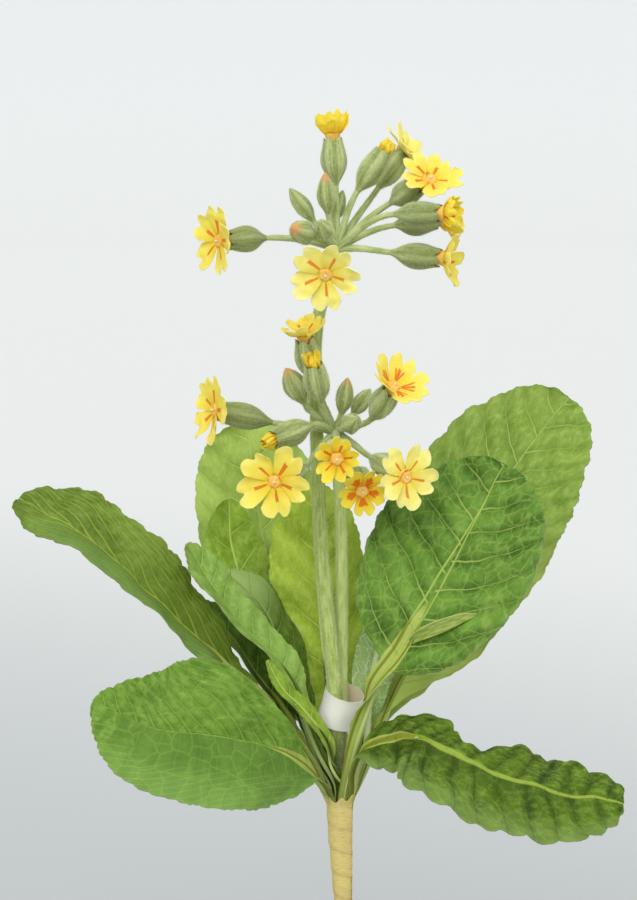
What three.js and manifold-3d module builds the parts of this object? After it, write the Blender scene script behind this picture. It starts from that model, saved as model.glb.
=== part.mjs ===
// A potted cowslip: two flower stalks with umbels of nodding yellow bells in inflated calyxes,
// a rosette of crinkled leaves, a tape-wrapped stem, and a plain clay pot filled with soil.
// Millimetres, +Z up, origin at the middle of the pot's flat base, -Y is the side seen from the front.
import * as THREE from "three";
import { mergeVertices } from "three/addons/utils/BufferGeometryUtils.js";
import Module from "manifold-3d";

const wasm = await Module();
wasm.setup();

// Pot: outside sizes, and the inside as [height, radius] pairs from the floor to the lip
const POT = { height: 90, baseR: 38, neckR: 47.5, rimR: 55, rimHeight: 20, edge: 1, sides: 36 };
const POT_INSIDE = [[6, 33], [64, 42.5], [71, 47.5], [89, 50]];
// Soil: it fills the pot to its top, mounded a little, with a plain hole for the stem
const SOIL = { top: 81, clearance: 0.3, mound: 2.2, holeR: 3.4, holeBottom: 24,
  rings: [38, 26, 14], sides: 30 };

// Wrapped stem: it stands in the soil's hole and leans a little to its top, the crown
const CROWN = { x: -1.4, y: 0, z: 145 };
// Its outline is [share of the length, radius]
const STEM = { sides: 14, steps: 12, outline: [[0, 2.9], [0.5, 2.8], [0.68, 3], [0.86, 4], [1, 4.7]],
  lean: [[0, 0, 55], [0, 0, 84], [-0.2, 0, 110], [-0.9, 0, 130]] };
// Everything that stands on another piece keeps this gap to it
const SEAT_GAP = 0.3;
// Radii of the two rings round the crown's middle on which the leaf stalks stand
const OUTER_RING = 3.85;
const INNER_RING = 2.2;

// Leaves: seat is the ring and the azimuth in degrees (0 is +X, 90 is the back). path is the midrib,
// face is where the upper side looks, stalk is the share of the length before the blade, wing is the
// half width of the stalk where the blade starts, full and tip shape the blade's two ends (less is
// rounder), fold is how far in degrees each half lifts, and wave is the height of the margin's waves.
const BLADE_THICKNESS = 0.8;
const STALK_HALF_WIDTH = 0.65;
const STALK_THICKNESS = 1.1;
const STALK_STEPS = 4;
// A leaf wider than this has more rows and columns
const WIDE_LEAF = 28;
// Share by which the margin swings in and out, and how far its two sides' waves are out of step
const SCALLOP = 0.045;
const EDGE_PHASE = 0.17;
const LEAVES = [
  { name: "leaf_left_long", ring: OUTER_RING, azimuth: 203, width: 32, stalk: 0.27, wing: 2.2, full: 0.65,
    tip: 0.4, fold: 30, wave: 1.2, waves: 5, face: [0.42, -0.6, 0.68],
    path: [[-9, -5, 158], [-22.5, -12, 180], [-40, -17, 197.5], [-67, -22, 225.5], [-93, -19, 247],
      [-113, -13, 256.5]] },
  { name: "leaf_left_low", ring: OUTER_RING, azimuth: 228, width: 52, stalk: 0.17, wing: 2.4, full: 0.78,
    tip: 0.7, fold: 8, wave: 1.1, waves: 4, face: [0.1, -0.9, 0.4],
    path: [[-6.6, -10, 154], [-13.5, -20, 164], [-25.5, -33, 173.5], [-45, -41, 179.5], [-66, -43, 182.5],
      [-86, -38, 191]] },
  { name: "leaf_left_narrow", ring: INNER_RING, azimuth: 240, width: 16, stalk: 0.3, wing: 1.8, full: 0.6,
    tip: 0.5, fold: 28, wave: 0.8, waves: 5, face: [0.5, -0.55, 0.65],
    path: [[-8, -5, 165], [-14.5, -8, 183], [-22, -11, 198], [-39, -17, 217], [-54.5, -17, 241.5]] },
  { name: "leaf_back_left_tall", ring: INNER_RING, azimuth: 110, width: 43, stalk: 0.2, wing: 2, full: 0.6,
    tip: 0.4, fold: 8, wave: 1.2, waves: 4, face: [0.1, -0.9, 0.35],
    path: [[-6, 7, 156], [-11, 14, 172], [-24, 32, 216], [-31, 42, 244], [-35, 46, 275]] },
  { name: "leaf_back_left_small", ring: INNER_RING, azimuth: 154, width: 25, stalk: 0.3, wing: 1.8,
    full: 0.6, tip: 0.5, fold: 10, wave: 0.8, waves: 3, face: [0.2, -0.9, 0.35],
    path: [[-7.5, 4.5, 156], [-15, 11, 173], [-32, 21, 210], [-40, 27, 232], [-41, 28, 250]] },
  { name: "leaf_back_middle", ring: INNER_RING, azimuth: 64, width: 34, stalk: 0.22, wing: 1.8, full: 0.8,
    tip: 0.45, fold: 8, wave: 0.9, waves: 3, face: [0, -0.95, 0.3],
    path: [[-3, 8, 156], [-5, 13, 180], [-8, 17, 202], [-10, 21, 236], [-10, 24, 256]] },
  { name: "leaf_right_front", ring: OUTER_RING, azimuth: 285, width: 61, stalk: 0.41, wing: 3.2,
    full: 0.55, tip: 0.5, fold: 7, wave: 1.3, waves: 4, face: [-0.35, -0.85, 0.4],
    path: [[2, -7, 160], [5.5, -11, 175.5], [10, -14, 190], [18.5, -16, 203], [38.5, -12, 236],
      [56, 0, 267]] },
  { name: "leaf_right_back", ring: OUTER_RING, azimuth: 5, width: 66, stalk: 0.2, wing: 2.8, full: 0.75,
    tip: 0.55, fold: 7, wave: 1.4, waves: 5, face: [-0.45, -0.8, 0.45],
    path: [[8, 3, 160], [18, 12, 183], [38, 25, 214.5], [62, 38, 260], [82, 45, 285]] },
  { name: "leaf_right_low", ring: OUTER_RING, azimuth: 325, width: 40, stalk: 0.2, wing: 2.6, full: 0.5,
    tip: 0.4, fold: -18, wave: 1.3, waves: 6, face: [0.12, -0.62, 0.78],
    path: [[3.5, -8, 159], [8, -16, 169.5], [25, -30, 177], [36.5, -36, 172.5], [65.5, -40, 161],
      [96, -36, 154]] },
  { name: "leaf_right_pale", ring: INNER_RING, azimuth: 12, width: 16, stalk: 0.38, wing: 1.5, full: 0.6,
    tip: 0.5, fold: -10, wave: 0.5, waves: 3, face: [-0.1, 0.95, 0.1],
    path: [[5, 4, 158], [8, 8.5, 172], [9.5, 10.5, 186], [12, 11.5, 198], [17.5, 12, 216]] },
  { name: "leaf_front_small", ring: INNER_RING, azimuth: 287, width: 6.4, stalk: 0.3, wing: 1.4, full: 0.4,
    tip: 0.4, fold: 12, wave: 0.3, waves: 4, face: [0.45, -0.6, 0.65],
    path: [[-3, -7, 158], [-5.6, -10, 169.5], [-14.5, -15, 183], [-21, -19.5, 190.5],
      [-26.5, -22.5, 201.5]] },
  { name: "leaf_left_inner", ring: INNER_RING, azimuth: 196, width: 21, stalk: 0.3, wing: 1.8, full: 0.6,
    tip: 0.5, fold: 28, wave: 0.7, waves: 4, face: [0.75, -0.45, 0.5],
    path: [[-7, 1, 157.5], [-13, 2, 175], [-20, 4, 195], [-30, 7, 216], [-42, 8, 228]] },
  { name: "leaf_left_mid", ring: OUTER_RING, azimuth: 180, width: 18, stalk: 0.42, wing: 1.6, full: 0.6,
    tip: 0.5, fold: 28, wave: 0.6, waves: 4, face: [0.65, -0.5, 0.6],
    path: [[-9.8, 0, 158], [-22.5, 0, 180], [-34, 0, 197], [-49, 1, 218]] },
  { name: "leaf_rear_right", ring: OUTER_RING, azimuth: 45, width: 38, stalk: 0.3, wing: 2.4, full: 0.65,
    tip: 0.5, fold: 10, wave: 1.3, waves: 4, face: [-0.45, -0.55, 0.7],
    path: [[9, 13, 162], [22, 32, 183], [36, 49, 198], [51, 66, 203]] },
  { name: "leaf_rear_middle", ring: OUTER_RING, azimuth: 88, width: 28, stalk: 0.3, wing: 2.2, full: 0.65,
    tip: 0.5, fold: 12, wave: 1.3, waves: 4, face: [0.05, -0.6, 0.8],
    path: [[-1.5, 15, 160], [-5, 34, 173], [-9, 53, 179], [-12, 74, 177]] },
  { name: "leaf_rear_left", ring: OUTER_RING, azimuth: 132, width: 26, stalk: 0.3, wing: 2.2, full: 0.65,
    tip: 0.5, fold: 12, wave: 1.3, waves: 4, face: [0.3, -0.6, 0.7],
    path: [[-10, 12, 161], [-20, 34, 184], [-29, 55, 205], [-36, 73, 214]] },
];

// Flower stalks, with the umbel's junction as the last point of each path
const SCAPES = {
  tall: { path: [[-2.1, -0.3, 145], [-2.6, -2, 170], [-3.6, -2.5, 192], [-6.6, -1.5, 221], [-8.4, 0.5, 245],
      [-9.6, 4.6, 282], [-9.4, 4, 315], [-2.5, 0, 342]],
    footR: 0.6, bodyR: 2.7, topR: 2.1, sides: 10, steps: 12 },
  short: { path: [[-0.6, 0.4, 145], [-0.9, 2.4, 170], [-0.9, 3.6, 192], [-0.6, 3.2, 221], [-1.2, 2, 250],
      [-3.2, 0, 278]],
    footR: 0.6, bodyR: 2.35, topR: 2.0, sides: 10, steps: 9 },
};
const SCAPE_FOOT_SHARE = 0.17;
const PEDICEL_R = 0.95;

// Calyx outline as [share of the length, radius in mm], with the height of its five ribs as a share,
// the length of its teeth and the depth of the dimple in its mouth
const CALYX = { sides: 10, rib: 0.07, tooth: 1.6, dimple: 4.5,
  outline: [[0, 0.9], [0.14, 2.1], [0.36, 3.9], [0.6, 4.4], [0.84, 3.8], [1, 3.3]] };
const BUD = { sides: 8, outline: [[0, 0.8], [0.18, 1.9], [0.45, 3.0], [0.78, 2.2], [1, 0]] };

// Blooms: base and mouth are the two ends of the calyx, open is the petals' rise in degrees, facing is
// the way the corolla looks where that is not the calyx's own, and reach is how far it stands out
const REACH = 2.9;
// Corolla: one petal's outline as [degrees from its middle, share of the radius], the radius of the
// throat from which the petals spread, and their thickness
const COROLLA = { petals: 5, throat: 2.7, thickness: 0.7,
  outline: [[-36, 0.4], [-25, 0.93], [-11, 1], [0, 0.86], [11, 1], [25, 0.93]] };
const BLOOMS = [
  { name: "upper_left", on: "tall", base: [-27, -6, 346.5], mouth: [-39.5, -10.5, 346], radius: 12.3,
    open: 14, facing: [-0.8, -0.6, 0.02], reach: 4.2 },
  { name: "upper_front", on: "tall", base: [-5.4, -14, 340.5], mouth: [-6.4, -29, 336.5], radius: 12.5,
    open: 6 },
  { name: "upper_top", on: "tall", base: [-2.9, 3, 364], mouth: [-3.9, 4, 379.5], radius: 10, open: 60 },
  { name: "upper_back", on: "tall", base: [12, 14, 362.5], mouth: [20, 20.5, 373.5], radius: 12, open: 10 },
  { name: "upper_high", on: "tall", base: [16, 3, 358], mouth: [26, -3, 364.5], radius: 11.3, open: 10,
    facing: [0.1, -0.68, 0.72], reach: 5 },
  { name: "upper_right", on: "tall", base: [17, -10, 355], mouth: [32, -15, 355.5], radius: 9, open: 45 },
  { name: "upper_right_rear", on: "tall", base: [17.5, 7, 350], mouth: [32, 12, 351.5], radius: 9.5,
    open: 45 },
  { name: "upper_right_low", on: "tall", base: [16, -6, 341.5], mouth: [32.2, -10, 340], radius: 11,
    open: 30 },
  { name: "lower_left", on: "short", base: [-25, -4, 282], mouth: [-41, -8, 286], radius: 12.5, open: 6,
    reach: 4.4 },
  { name: "lower_front_left", on: "short", base: [-13.5, -12, 268], mouth: [-22, -26, 265.5], radius: 13.4,
    open: 6, facing: [-0.2, -0.97, -0.05], reach: 3.8 },
  { name: "lower_top", on: "short", base: [-10.4, -5, 296.5], mouth: [-13.6, -10, 311.5], radius: 9.8,
    open: 28 },
  { name: "lower_right_high", on: "short", base: [9.5, -7, 283.5], mouth: [16, -15, 294.5], radius: 12.6,
    open: 26 },
  { name: "lower_middle", on: "short", base: [-2.4, -14, 275.5], mouth: [-2.6, -29, 273.5], radius: 8.8,
    open: 22 },
  { name: "lower_front_right", on: "short", base: [4, -9, 266.5], mouth: [5.7, -18, 261.5], radius: 9,
    open: 22 },
  { name: "lower_right", on: "short", base: [9, -8, 270.5], mouth: [18.7, -19, 266.5], radius: 11.8,
    open: 8, facing: [0.35, -0.92, 0.1], reach: 4 },
];
// Calyxes whose petals only just show at the mouth
const OPENING = [
  { name: "upper_opening", on: "tall", base: [4.5, 2.5, 362], mouth: [13.5, 4, 375.5] },
  { name: "lower_left_opening", on: "short", base: [-11, -9, 282], mouth: [-24.5, -18, 278] },
  { name: "lower_top_opening", on: "short", base: [-8, -9, 289.5], mouth: [-10.5, -15, 303.5] },
];
// Furled petals as [height over the mouth, radius], with their foot and top on the axis
const FURLED = { foot: -1.1, top: 4.4, sides: 10, crease: 0.85,
  outline: [[0.1, 1.3], [1.6, 2.6], [3.6, 2.5]] };
// Closed buds as base, tip and thickness, the last as a share of the full outline
const BUDS = [
  { on: "tall", base: [-5.6, -3, 354.5], tip: [-6.7, -6, 369], thick: 1.05 },
  { on: "tall", base: [-10.5, -1, 351.7], tip: [-19, -3, 363.5], thick: 0.95 },
  { on: "tall", base: [-3.6, 6, 351], tip: [-0.3, 11, 362], thick: 0.8 },
  { on: "tall", base: [-11, -8, 347], tip: [-18, -19, 351], thick: 1.35 },
  { on: "tall", base: [-6, -9, 347], tip: [-8.5, -18, 353], thick: 1.05 },
  { on: "short", base: [-14, -4, 289], tip: [-20.3, -7, 301.5], thick: 1.35 },
  { on: "short", base: [-8, 11, 283], tip: [-13.5, 21, 291], thick: 1.3 },
  { on: "short", base: [-1.0, -3, 284.6], tip: [1.3, -5, 298], thick: 1.0 },
  { on: "short", base: [3, 5, 283.5], tip: [9.4, 8, 292.5], thick: 0.95 },
  { on: "short", base: [0.6, -7, 280.5], tip: [4.4, -16, 285], thick: 1.15 },
];

// A blank paper band looped round the two flower stalks
const BAND = { x: -1.2, y: 0.6, z: 180, rx: 7, ry: 7.5, height: 12, wall: 0.7,
  tilt: 15, lean: 16, sides: 24 };

const UP = new THREE.Vector3(0, 0, 1);
// Where the first corner of every calyx, bud and corolla is turned to, as near as its axis lets it
const BEHIND = new THREE.Vector3(0.2, 0.3, 1);
const vec = (p) => new THREE.Vector3(...p);
const lerp = THREE.MathUtils.lerp;
const radians = THREE.MathUtils.degToRad;

// A geometry from rows of points, each row a closed ring, with its ends closed by single points
function ringSkin(rings, first, last) {
  const n = rings[0].length;
  const points = [first, ...rings.flat(), last];
  const at = (r, i) => 1 + r * n + (i % n);
  const index = [];
  for (let i = 0; i < n; i++) {
    index.push(0, at(0, i + 1), at(0, i));
    for (let r = 0; r + 1 < rings.length; r++) {
      index.push(at(r, i), at(r, i + 1), at(r + 1, i + 1), at(r, i), at(r + 1, i + 1), at(r + 1, i));
    }
    index.push(points.length - 1, at(rings.length - 1, i), at(rings.length - 1, i + 1));
  }
  return new THREE.BufferGeometry().setFromPoints(points).setIndex(index);
}

// A joinable solid from any closed geometry
function solidOf(geometry) {
  const bare = geometry.clone();
  bare.deleteAttribute("normal");
  bare.deleteAttribute("uv");
  const merged = bare.index ? bare : mergeVertices(bare);
  return new wasm.Manifold(new wasm.Mesh({
    numProp: 3,
    vertProperties: new Float32Array(merged.attributes.position.array),
    triVerts: new Uint32Array(merged.index.array),
  }));
}

// The joined solids as one geometry
function joined(geometries) {
  const mesh = wasm.Manifold.union(geometries.map(solidOf)).getMesh();
  return new THREE.BufferGeometry()
    .setAttribute("position", new THREE.BufferAttribute(mesh.vertProperties, 3))
    .setIndex(new THREE.BufferAttribute(mesh.triVerts, 1));
}

// Unit vectors across and behind a direction, with the second as near to hint as it can be
function frameAlong(direction, hint) {
  const along = direction.clone().normalize();
  const normal = hint.clone().addScaledVector(along, -hint.dot(along)).normalize();
  const side = new THREE.Vector3().crossVectors(normal, along);
  return { along, side, normal };
}

// A round rod along a curve, with its radius given at each share of the length
function rod(curve, radiusAt, sides, steps) {
  const rings = [];
  const hint = new THREE.Vector3(0.3, 1, 0.2);
  for (let s = 0; s <= steps; s++) {
    const t = s / steps;
    const centre = curve.getPointAt(t);
    const { side, normal } = frameAlong(curve.getTangentAt(t), hint);
    rings.push(circlePoints(centre, side, normal, sides, () => radiusAt(t)));
  }
  return ringSkin(rings, curve.getPointAt(0), curve.getPointAt(1));
}

function circlePoints(centre, side, normal, sides, radiusOf) {
  return Array.from({ length: sides }, (_, i) => {
    const angle = (2 * Math.PI * i) / sides;
    return centre.clone()
      .addScaledVector(side, Math.cos(angle) * radiusOf(i))
      .addScaledVector(normal, Math.sin(angle) * radiusOf(i));
  });
}

// Value at a share along an outline of [share, value] pairs
function alongOutline(outline, share) {
  const next = Math.max(1, outline.findIndex(([s]) => s >= share));
  const [a, b] = [outline[next - 1], outline[next]];
  return lerp(a[1], b[1], (share - a[0]) / (b[0] - a[0]));
}

function lathe(outline, sides) {
  const profile = outline.map(([r, z]) => new THREE.Vector2(r, z));
  return new THREE.LatheGeometry(profile, sides).rotateX(Math.PI / 2);
}

// Pot: a tapered wall with a thicker rim band, closed at its foot
function potGeometry() {
  const { height, baseR, neckR, rimR, rimHeight, edge, sides } = POT;
  const neck = height - rimHeight;
  const lipR = POT_INSIDE.at(-1)[1];
  const outside = [[0, 0], [baseR - edge, 0], [baseR, edge], [neckR, neck], [rimR - 2 * edge, neck],
    [rimR - edge, neck + edge], [rimR, height - edge], [rimR - edge, height], [lipR + edge, height]];
  const inside = POT_INSIDE.map(([z, r]) => [r, z]).reverse();
  return lathe([...outside, ...inside, [0, POT_INSIDE[0][0]]], sides);
}

// Height of the soil's crumbly surface over a point
function soilRelief(x, y) {
  const lumps = 0.7 * Math.sin(0.31 * x + 1.3) * Math.cos(0.27 * y) + 0.4 * Math.sin(0.5 * y);
  return SOIL.mound * (1 - Math.hypot(x, y) / POT.rimR) + lumps;
}

function soilGeometry() {
  const { top, clearance, holeR, holeBottom, rings, sides } = SOIL;
  const sideR = alongOutline(POT_INSIDE, top) - clearance;
  const below = POT_INSIDE.filter(([z]) => z < top).map(([z, r]) => [r - clearance, z]);
  below[0][1] += clearance;
  const surface = rings.map((r) => [r, top]);
  const hole = [[holeR + 1, top], [holeR, top - 1], [holeR, holeBottom], [0, holeBottom]];
  const geometry = lathe([[0, below[0][1]], ...below, [sideR, top], ...surface, ...hole], sides);
  const position = geometry.attributes.position;
  for (let i = 0; i < position.count; i++) {
    const [x, y, z] = [position.getX(i), position.getY(i), position.getZ(i)];
    if (z > top - 0.5 && Math.hypot(x, y) < sideR - 1) position.setZ(i, z + soilRelief(x, y));
  }
  return geometry;
}

// Stem: from the bottom of the soil's hole up to the crown, whose flat top carries the plant
function stemGeometry() {
  const points = [[0, 0, SOIL.holeBottom + SEAT_GAP], ...STEM.lean, [CROWN.x, CROWN.y, CROWN.z]];
  const curve = new THREE.CatmullRomCurve3(points.map(vec));
  return rod(curve, (t) => alongOutline(STEM.outline, t), STEM.sides, STEM.steps);
}

// Half width of a leaf at a share of its length: a winged stalk, then a blade with a round tip
function leafHalfWidth(leaf, u) {
  const t = Math.max(0, (u - leaf.stalk) / (1 - leaf.stalk));
  const [rise, fall] = [leaf.full, leaf.tip];
  const peak = rise / (rise + fall);
  const shape = Math.pow(t / peak, rise) * Math.pow((1 - t) / (1 - peak), fall);
  const stalk = lerp(STALK_HALF_WIDTH, leaf.wing, THREE.MathUtils.smoothstep(u, 0.02, leaf.stalk * 0.8));
  return Math.max(u > 0.9 ? 0.8 : stalk, (leaf.width / 2) * shape);
}

function leafCurve(leaf) {
  const angle = radians(leaf.azimuth);
  const [dx, dy] = [Math.cos(angle), Math.sin(angle)];
  const seat = [CROWN.x + leaf.ring * dx, CROWN.y + leaf.ring * dy, CROWN.z + SEAT_GAP];
  const lift = leaf.ring === INNER_RING ? 7 : 4;
  const spread = leaf.ring === INNER_RING ? 1.1 : 1.4;
  const above = [CROWN.x + leaf.ring * spread * dx, CROWN.y + leaf.ring * spread * dy, CROWN.z + lift];
  return new THREE.CatmullRomCurve3([seat, above, ...leaf.path].map(vec), false, "centripetal");
}

// Leaf: a thin blade with a crenate, waved margin, a rib under it and a narrow stalk
function leafGeometry(leaf) {
  const curve = leafCurve(leaf);
  const wide = leaf.width > WIDE_LEAF;
  const across = wide ? [-1, -0.6, -0.25, 0, 0.25, 0.6, 1] : [-1, -0.5, 0, 0.5, 1];
  const bladeSteps = wide ? 10 : 8;
  const shares = [];
  for (let s = 0; s < STALK_STEPS; s++) shares.push((leaf.stalk * s) / STALK_STEPS);
  for (let s = 0; s <= bladeSteps; s++) {
    const even = s / bladeSteps;
    shares.push(lerp(leaf.stalk, 1, lerp(even, 0.5 - 0.5 * Math.cos(Math.PI * even), 0.6)));
  }
  const angle = radians(leaf.azimuth);
  const inward = new THREE.Vector3(-Math.cos(angle), -Math.sin(angle), 0);
  const [tops, unders] = [[], []];
  shares.forEach((u, row) => {
    const turn = THREE.MathUtils.smoothstep(u, 0.05, leaf.stalk + 0.12);
    const hint = inward.clone().lerp(vec(leaf.face).normalize(), turn);
    const { side, normal } = frameAlong(row ? curve.getTangentAt(u) : UP, hint);
    const blade = THREE.MathUtils.smoothstep(u, leaf.stalk * 0.8, leaf.stalk + 0.15);
    const scallop = 1 + SCALLOP * blade * (row % 2 ? 1 : -1);
    const half = leafHalfWidth(leaf, u) * scallop;
    const fold = radians(leaf.fold) * blade;
    const centre = curve.getPointAt(u);
    const under = [];
    const top = across.map((v) => {
      const reach = Math.abs(v) * half;
      const phase = leaf.waves * u + EDGE_PHASE * Math.sign(v);
      const ripple = leaf.wave * blade * v * v * Math.sin(2 * Math.PI * phase);
      const surface = centre.clone()
        .addScaledVector(side, Math.sign(v) * reach * Math.cos(fold))
        .addScaledVector(normal, reach * Math.sin(fold) + ripple);
      const rib = (1 - Math.abs(v)) ** 4 * lerp(0.9, 0.2, u) * blade;
      const thickness = lerp(STALK_THICKNESS, BLADE_THICKNESS, blade) + rib;
      under.push(surface.clone().addScaledVector(normal, -thickness));
      return surface;
    });
    tops.push(top);
    unders.push(under);
  });
  return sheetSkin(tops, unders);
}

// Two facing grids closed along their edges, with the same diagonals on both
function sheetSkin(tops, unders) {
  const [rows, cols] = [tops.length, tops[0].length];
  const points = [...tops.flat(), ...unders.flat()];
  const t = (r, c) => r * cols + c;
  const b = (r, c) => rows * cols + r * cols + c;
  const index = [];
  const quad = (p, q, r, s) => index.push(p, q, r, p, r, s);
  for (let r = 0; r + 1 < rows; r++) {
    for (let c = 0; c + 1 < cols; c++) {
      quad(t(r, c), t(r + 1, c), t(r + 1, c + 1), t(r, c + 1));
      quad(b(r, c), b(r, c + 1), b(r + 1, c + 1), b(r + 1, c));
    }
    quad(t(r, 0), b(r, 0), b(r + 1, 0), t(r + 1, 0));
    quad(t(r, cols - 1), t(r + 1, cols - 1), b(r + 1, cols - 1), b(r, cols - 1));
  }
  for (let c = 0; c + 1 < cols; c++) {
    quad(t(0, c), t(0, c + 1), b(0, c + 1), b(0, c));
    quad(t(rows - 1, c), b(rows - 1, c), b(rows - 1, c + 1), t(rows - 1, c + 1));
  }
  return new THREE.BufferGeometry().setFromPoints(points).setIndex(index);
}

// Radius at a corner of a ribbed cup
const ribbed = (radius, i) => radius * (1 + CALYX.rib * (i % 2 ? -1 : 1));

// Calyx: an inflated five-angled cup with five teeth and a cone-shaped dimple at its mouth
function calyxGeometry(base, mouth, closed = false) {
  const axis = mouth.clone().sub(base);
  const length = axis.length();
  const { along, side, normal } = frameAlong(axis, BEHIND);
  const rings = CALYX.outline.map(([share, radius]) => {
    const centre = base.clone().addScaledVector(along, share * length);
    return circlePoints(centre, side, normal, CALYX.sides, (i) => ribbed(radius, i));
  });
  const teeth = closed ? 0.6 : CALYX.tooth;
  rings.at(-1).forEach((p, i) => p.addScaledVector(along, i % 2 ? 0 : teeth));
  const dimple = mouth.clone().addScaledVector(along, closed ? -1.5 : -CALYX.dimple);
  return ringSkin(rings, base, dimple);
}

function budGeometry(bud) {
  const [base, tip] = [vec(bud.base), vec(bud.tip)];
  const axis = tip.clone().sub(base);
  const { along, side, normal } = frameAlong(axis, BEHIND);
  const rings = BUD.outline.slice(0, -1).map(([share, radius]) => {
    const centre = base.clone().addScaledVector(along, share * axis.length());
    return circlePoints(centre, side, normal, BUD.sides, (i) => ribbed(radius * bud.thick, i));
  });
  return ringSkin(rings, base, tip);
}

// Pedicel: from the umbel's junction to the foot of a calyx, meeting it along the calyx's own axis
function pedicelGeometry(junction, base, end) {
  const along = end.clone().sub(base).normalize();
  const reach = base.distanceTo(junction);
  const sunk = base.clone().addScaledVector(along, 1.2);
  const start = base.clone().sub(junction).normalize().addScaledVector(UP, 0.25).normalize();
  const curve = new THREE.CubicBezierCurve3(junction, junction.clone().addScaledVector(start, reach * 0.35),
    sunk.clone().addScaledVector(along, -reach * 0.35), sunk);
  return rod(curve, () => PEDICEL_R, 5, 3);
}

// Flower stalk with all its pedicels, calyxes and buds, joined as one body
function scapeGeometry(name) {
  const scape = SCAPES[name];
  const points = scape.path.map(vec);
  points[0].z += SEAT_GAP;
  const curve = new THREE.CatmullRomCurve3(points, false, "centripetal");
  const radiusAt = (t) => {
    const grow = THREE.MathUtils.smoothstep(t, 0, SCAPE_FOOT_SHARE);
    return lerp(lerp(scape.footR, scape.bodyR, grow), scape.topR, Math.max(0, t - 0.2) / 0.8);
  };
  const junction = points.at(-1);
  const pieces = [rod(curve, radiusAt, scape.sides, scape.steps)];
  for (const cup of [...BLOOMS, ...OPENING].filter((c) => c.on === name)) {
    const [base, mouth] = [vec(cup.base), vec(cup.mouth)];
    pieces.push(pedicelGeometry(junction, base, mouth), calyxGeometry(base, mouth, !cup.radius));
  }
  for (const bud of BUDS.filter((b) => b.on === name)) {
    pieces.push(pedicelGeometry(junction, vec(bud.base), vec(bud.tip)), budGeometry(bud));
  }
  return joined(pieces);
}

// Corolla: a funnel tube that opens into five notched petals
function corollaGeometry(bloom) {
  const [base, mouth] = [vec(bloom.base), vec(bloom.mouth)];
  const along = mouth.clone().sub(base).normalize();
  const look = bloom.facing ? vec(bloom.facing) : along;
  const { along: out, side, normal } = frameAlong(look, BEHIND);
  const centre = mouth.clone().addScaledVector(along, bloom.reach ?? REACH);
  const { petals, outline, throat, thickness } = COROLLA;
  const open = radians(bloom.open);
  const corners = [];
  for (let k = 0; k < petals; k++) {
    for (const [degrees, share] of outline) corners.push([radians((360 / petals) * k + degrees), share]);
  }
  const place = (angle, r, z) => centre.clone()
    .addScaledVector(side, Math.cos(angle) * r)
    .addScaledVector(normal, Math.sin(angle) * r)
    .addScaledVector(out, z);
  const rim = ([angle, share], drop) => {
    const reach = Math.max(0.5, bloom.radius * share - throat);
    return place(angle, throat + reach * Math.cos(open) + drop * Math.sin(open) * thickness,
      reach * Math.sin(open) - drop * Math.cos(open) * thickness);
  };
  const inner = (drop) => corners.map(([angle]) => place(angle, throat, -drop * thickness));
  const rings = [inner(1), corners.map((c) => rim(c, 1)), corners.map((c) => rim(c, 0)), inner(0)];
  const tubeEnd = mouth.clone().addScaledVector(along, SEAT_GAP - CALYX.dimple);
  return ringSkin(rings, tubeEnd, centre.clone().addScaledVector(out, -1));
}

// The furled petals of an opening flower: a small knob that sits just over the calyx's dimple
function furledGeometry(cup) {
  const [base, mouth] = [vec(cup.base), vec(cup.mouth)];
  const { along, side, normal } = frameAlong(mouth.clone().sub(base), BEHIND);
  const above = (z) => mouth.clone().addScaledVector(along, z);
  const rings = FURLED.outline.map(([z, r]) =>
    circlePoints(above(z), side, normal, FURLED.sides, (i) => r * (i % 2 ? FURLED.crease : 1)));
  return ringSkin(rings, above(FURLED.foot), above(FURLED.top));
}

// Band: a flat strip closed into an upright oval loop
function bandGeometry() {
  const { rx, ry, height, wall, sides } = BAND;
  const outline = [[-height / 2, 0], [height / 2, 0], [height / 2, wall], [-height / 2, wall]];
  const points = [];
  for (let i = 0; i < sides; i++) {
    const angle = (2 * Math.PI * i) / sides;
    for (const [z, out] of outline) {
      points.push(new THREE.Vector3(Math.cos(angle) * (rx + out), Math.sin(angle) * (ry + out), z));
    }
  }
  const index = [];
  for (let i = 0; i < sides; i++) {
    for (let k = 0; k < 4; k++) {
      const [a, b] = [4 * i + k, 4 * i + ((k + 1) % 4)];
      const [c, d] = [4 * ((i + 1) % sides) + k, 4 * ((i + 1) % sides) + ((k + 1) % 4)];
      index.push(a, b, d, a, d, c);
    }
  }
  return new THREE.BufferGeometry().setFromPoints(points).setIndex(index);
}

const FINISHES = {
  clay: new THREE.MeshStandardMaterial({ color: 0xb5673f, roughness: 0.9 }),
  soil: new THREE.MeshStandardMaterial({ color: 0x3a2a1e, roughness: 1 }),
  tape: new THREE.MeshStandardMaterial({ color: 0xd9bd78, roughness: 0.8 }),
  leaf: new THREE.MeshStandardMaterial({ color: 0x5a9a3c, roughness: 0.75 }),
  stalk: new THREE.MeshStandardMaterial({ color: 0x97a878, roughness: 0.95 }),
  petal: new THREE.MeshStandardMaterial({ color: 0xf5dc2e, roughness: 0.6 }),
  paper: new THREE.MeshStandardMaterial({ color: 0xe8e6df, roughness: 0.85 }),
};

const plant = new THREE.Group();

function add(name, geometry, finish) {
  geometry.computeVertexNormals();
  const mesh = new THREE.Mesh(geometry, FINISHES[finish]);
  mesh.name = name;
  plant.add(mesh);
  return mesh;
}

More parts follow.
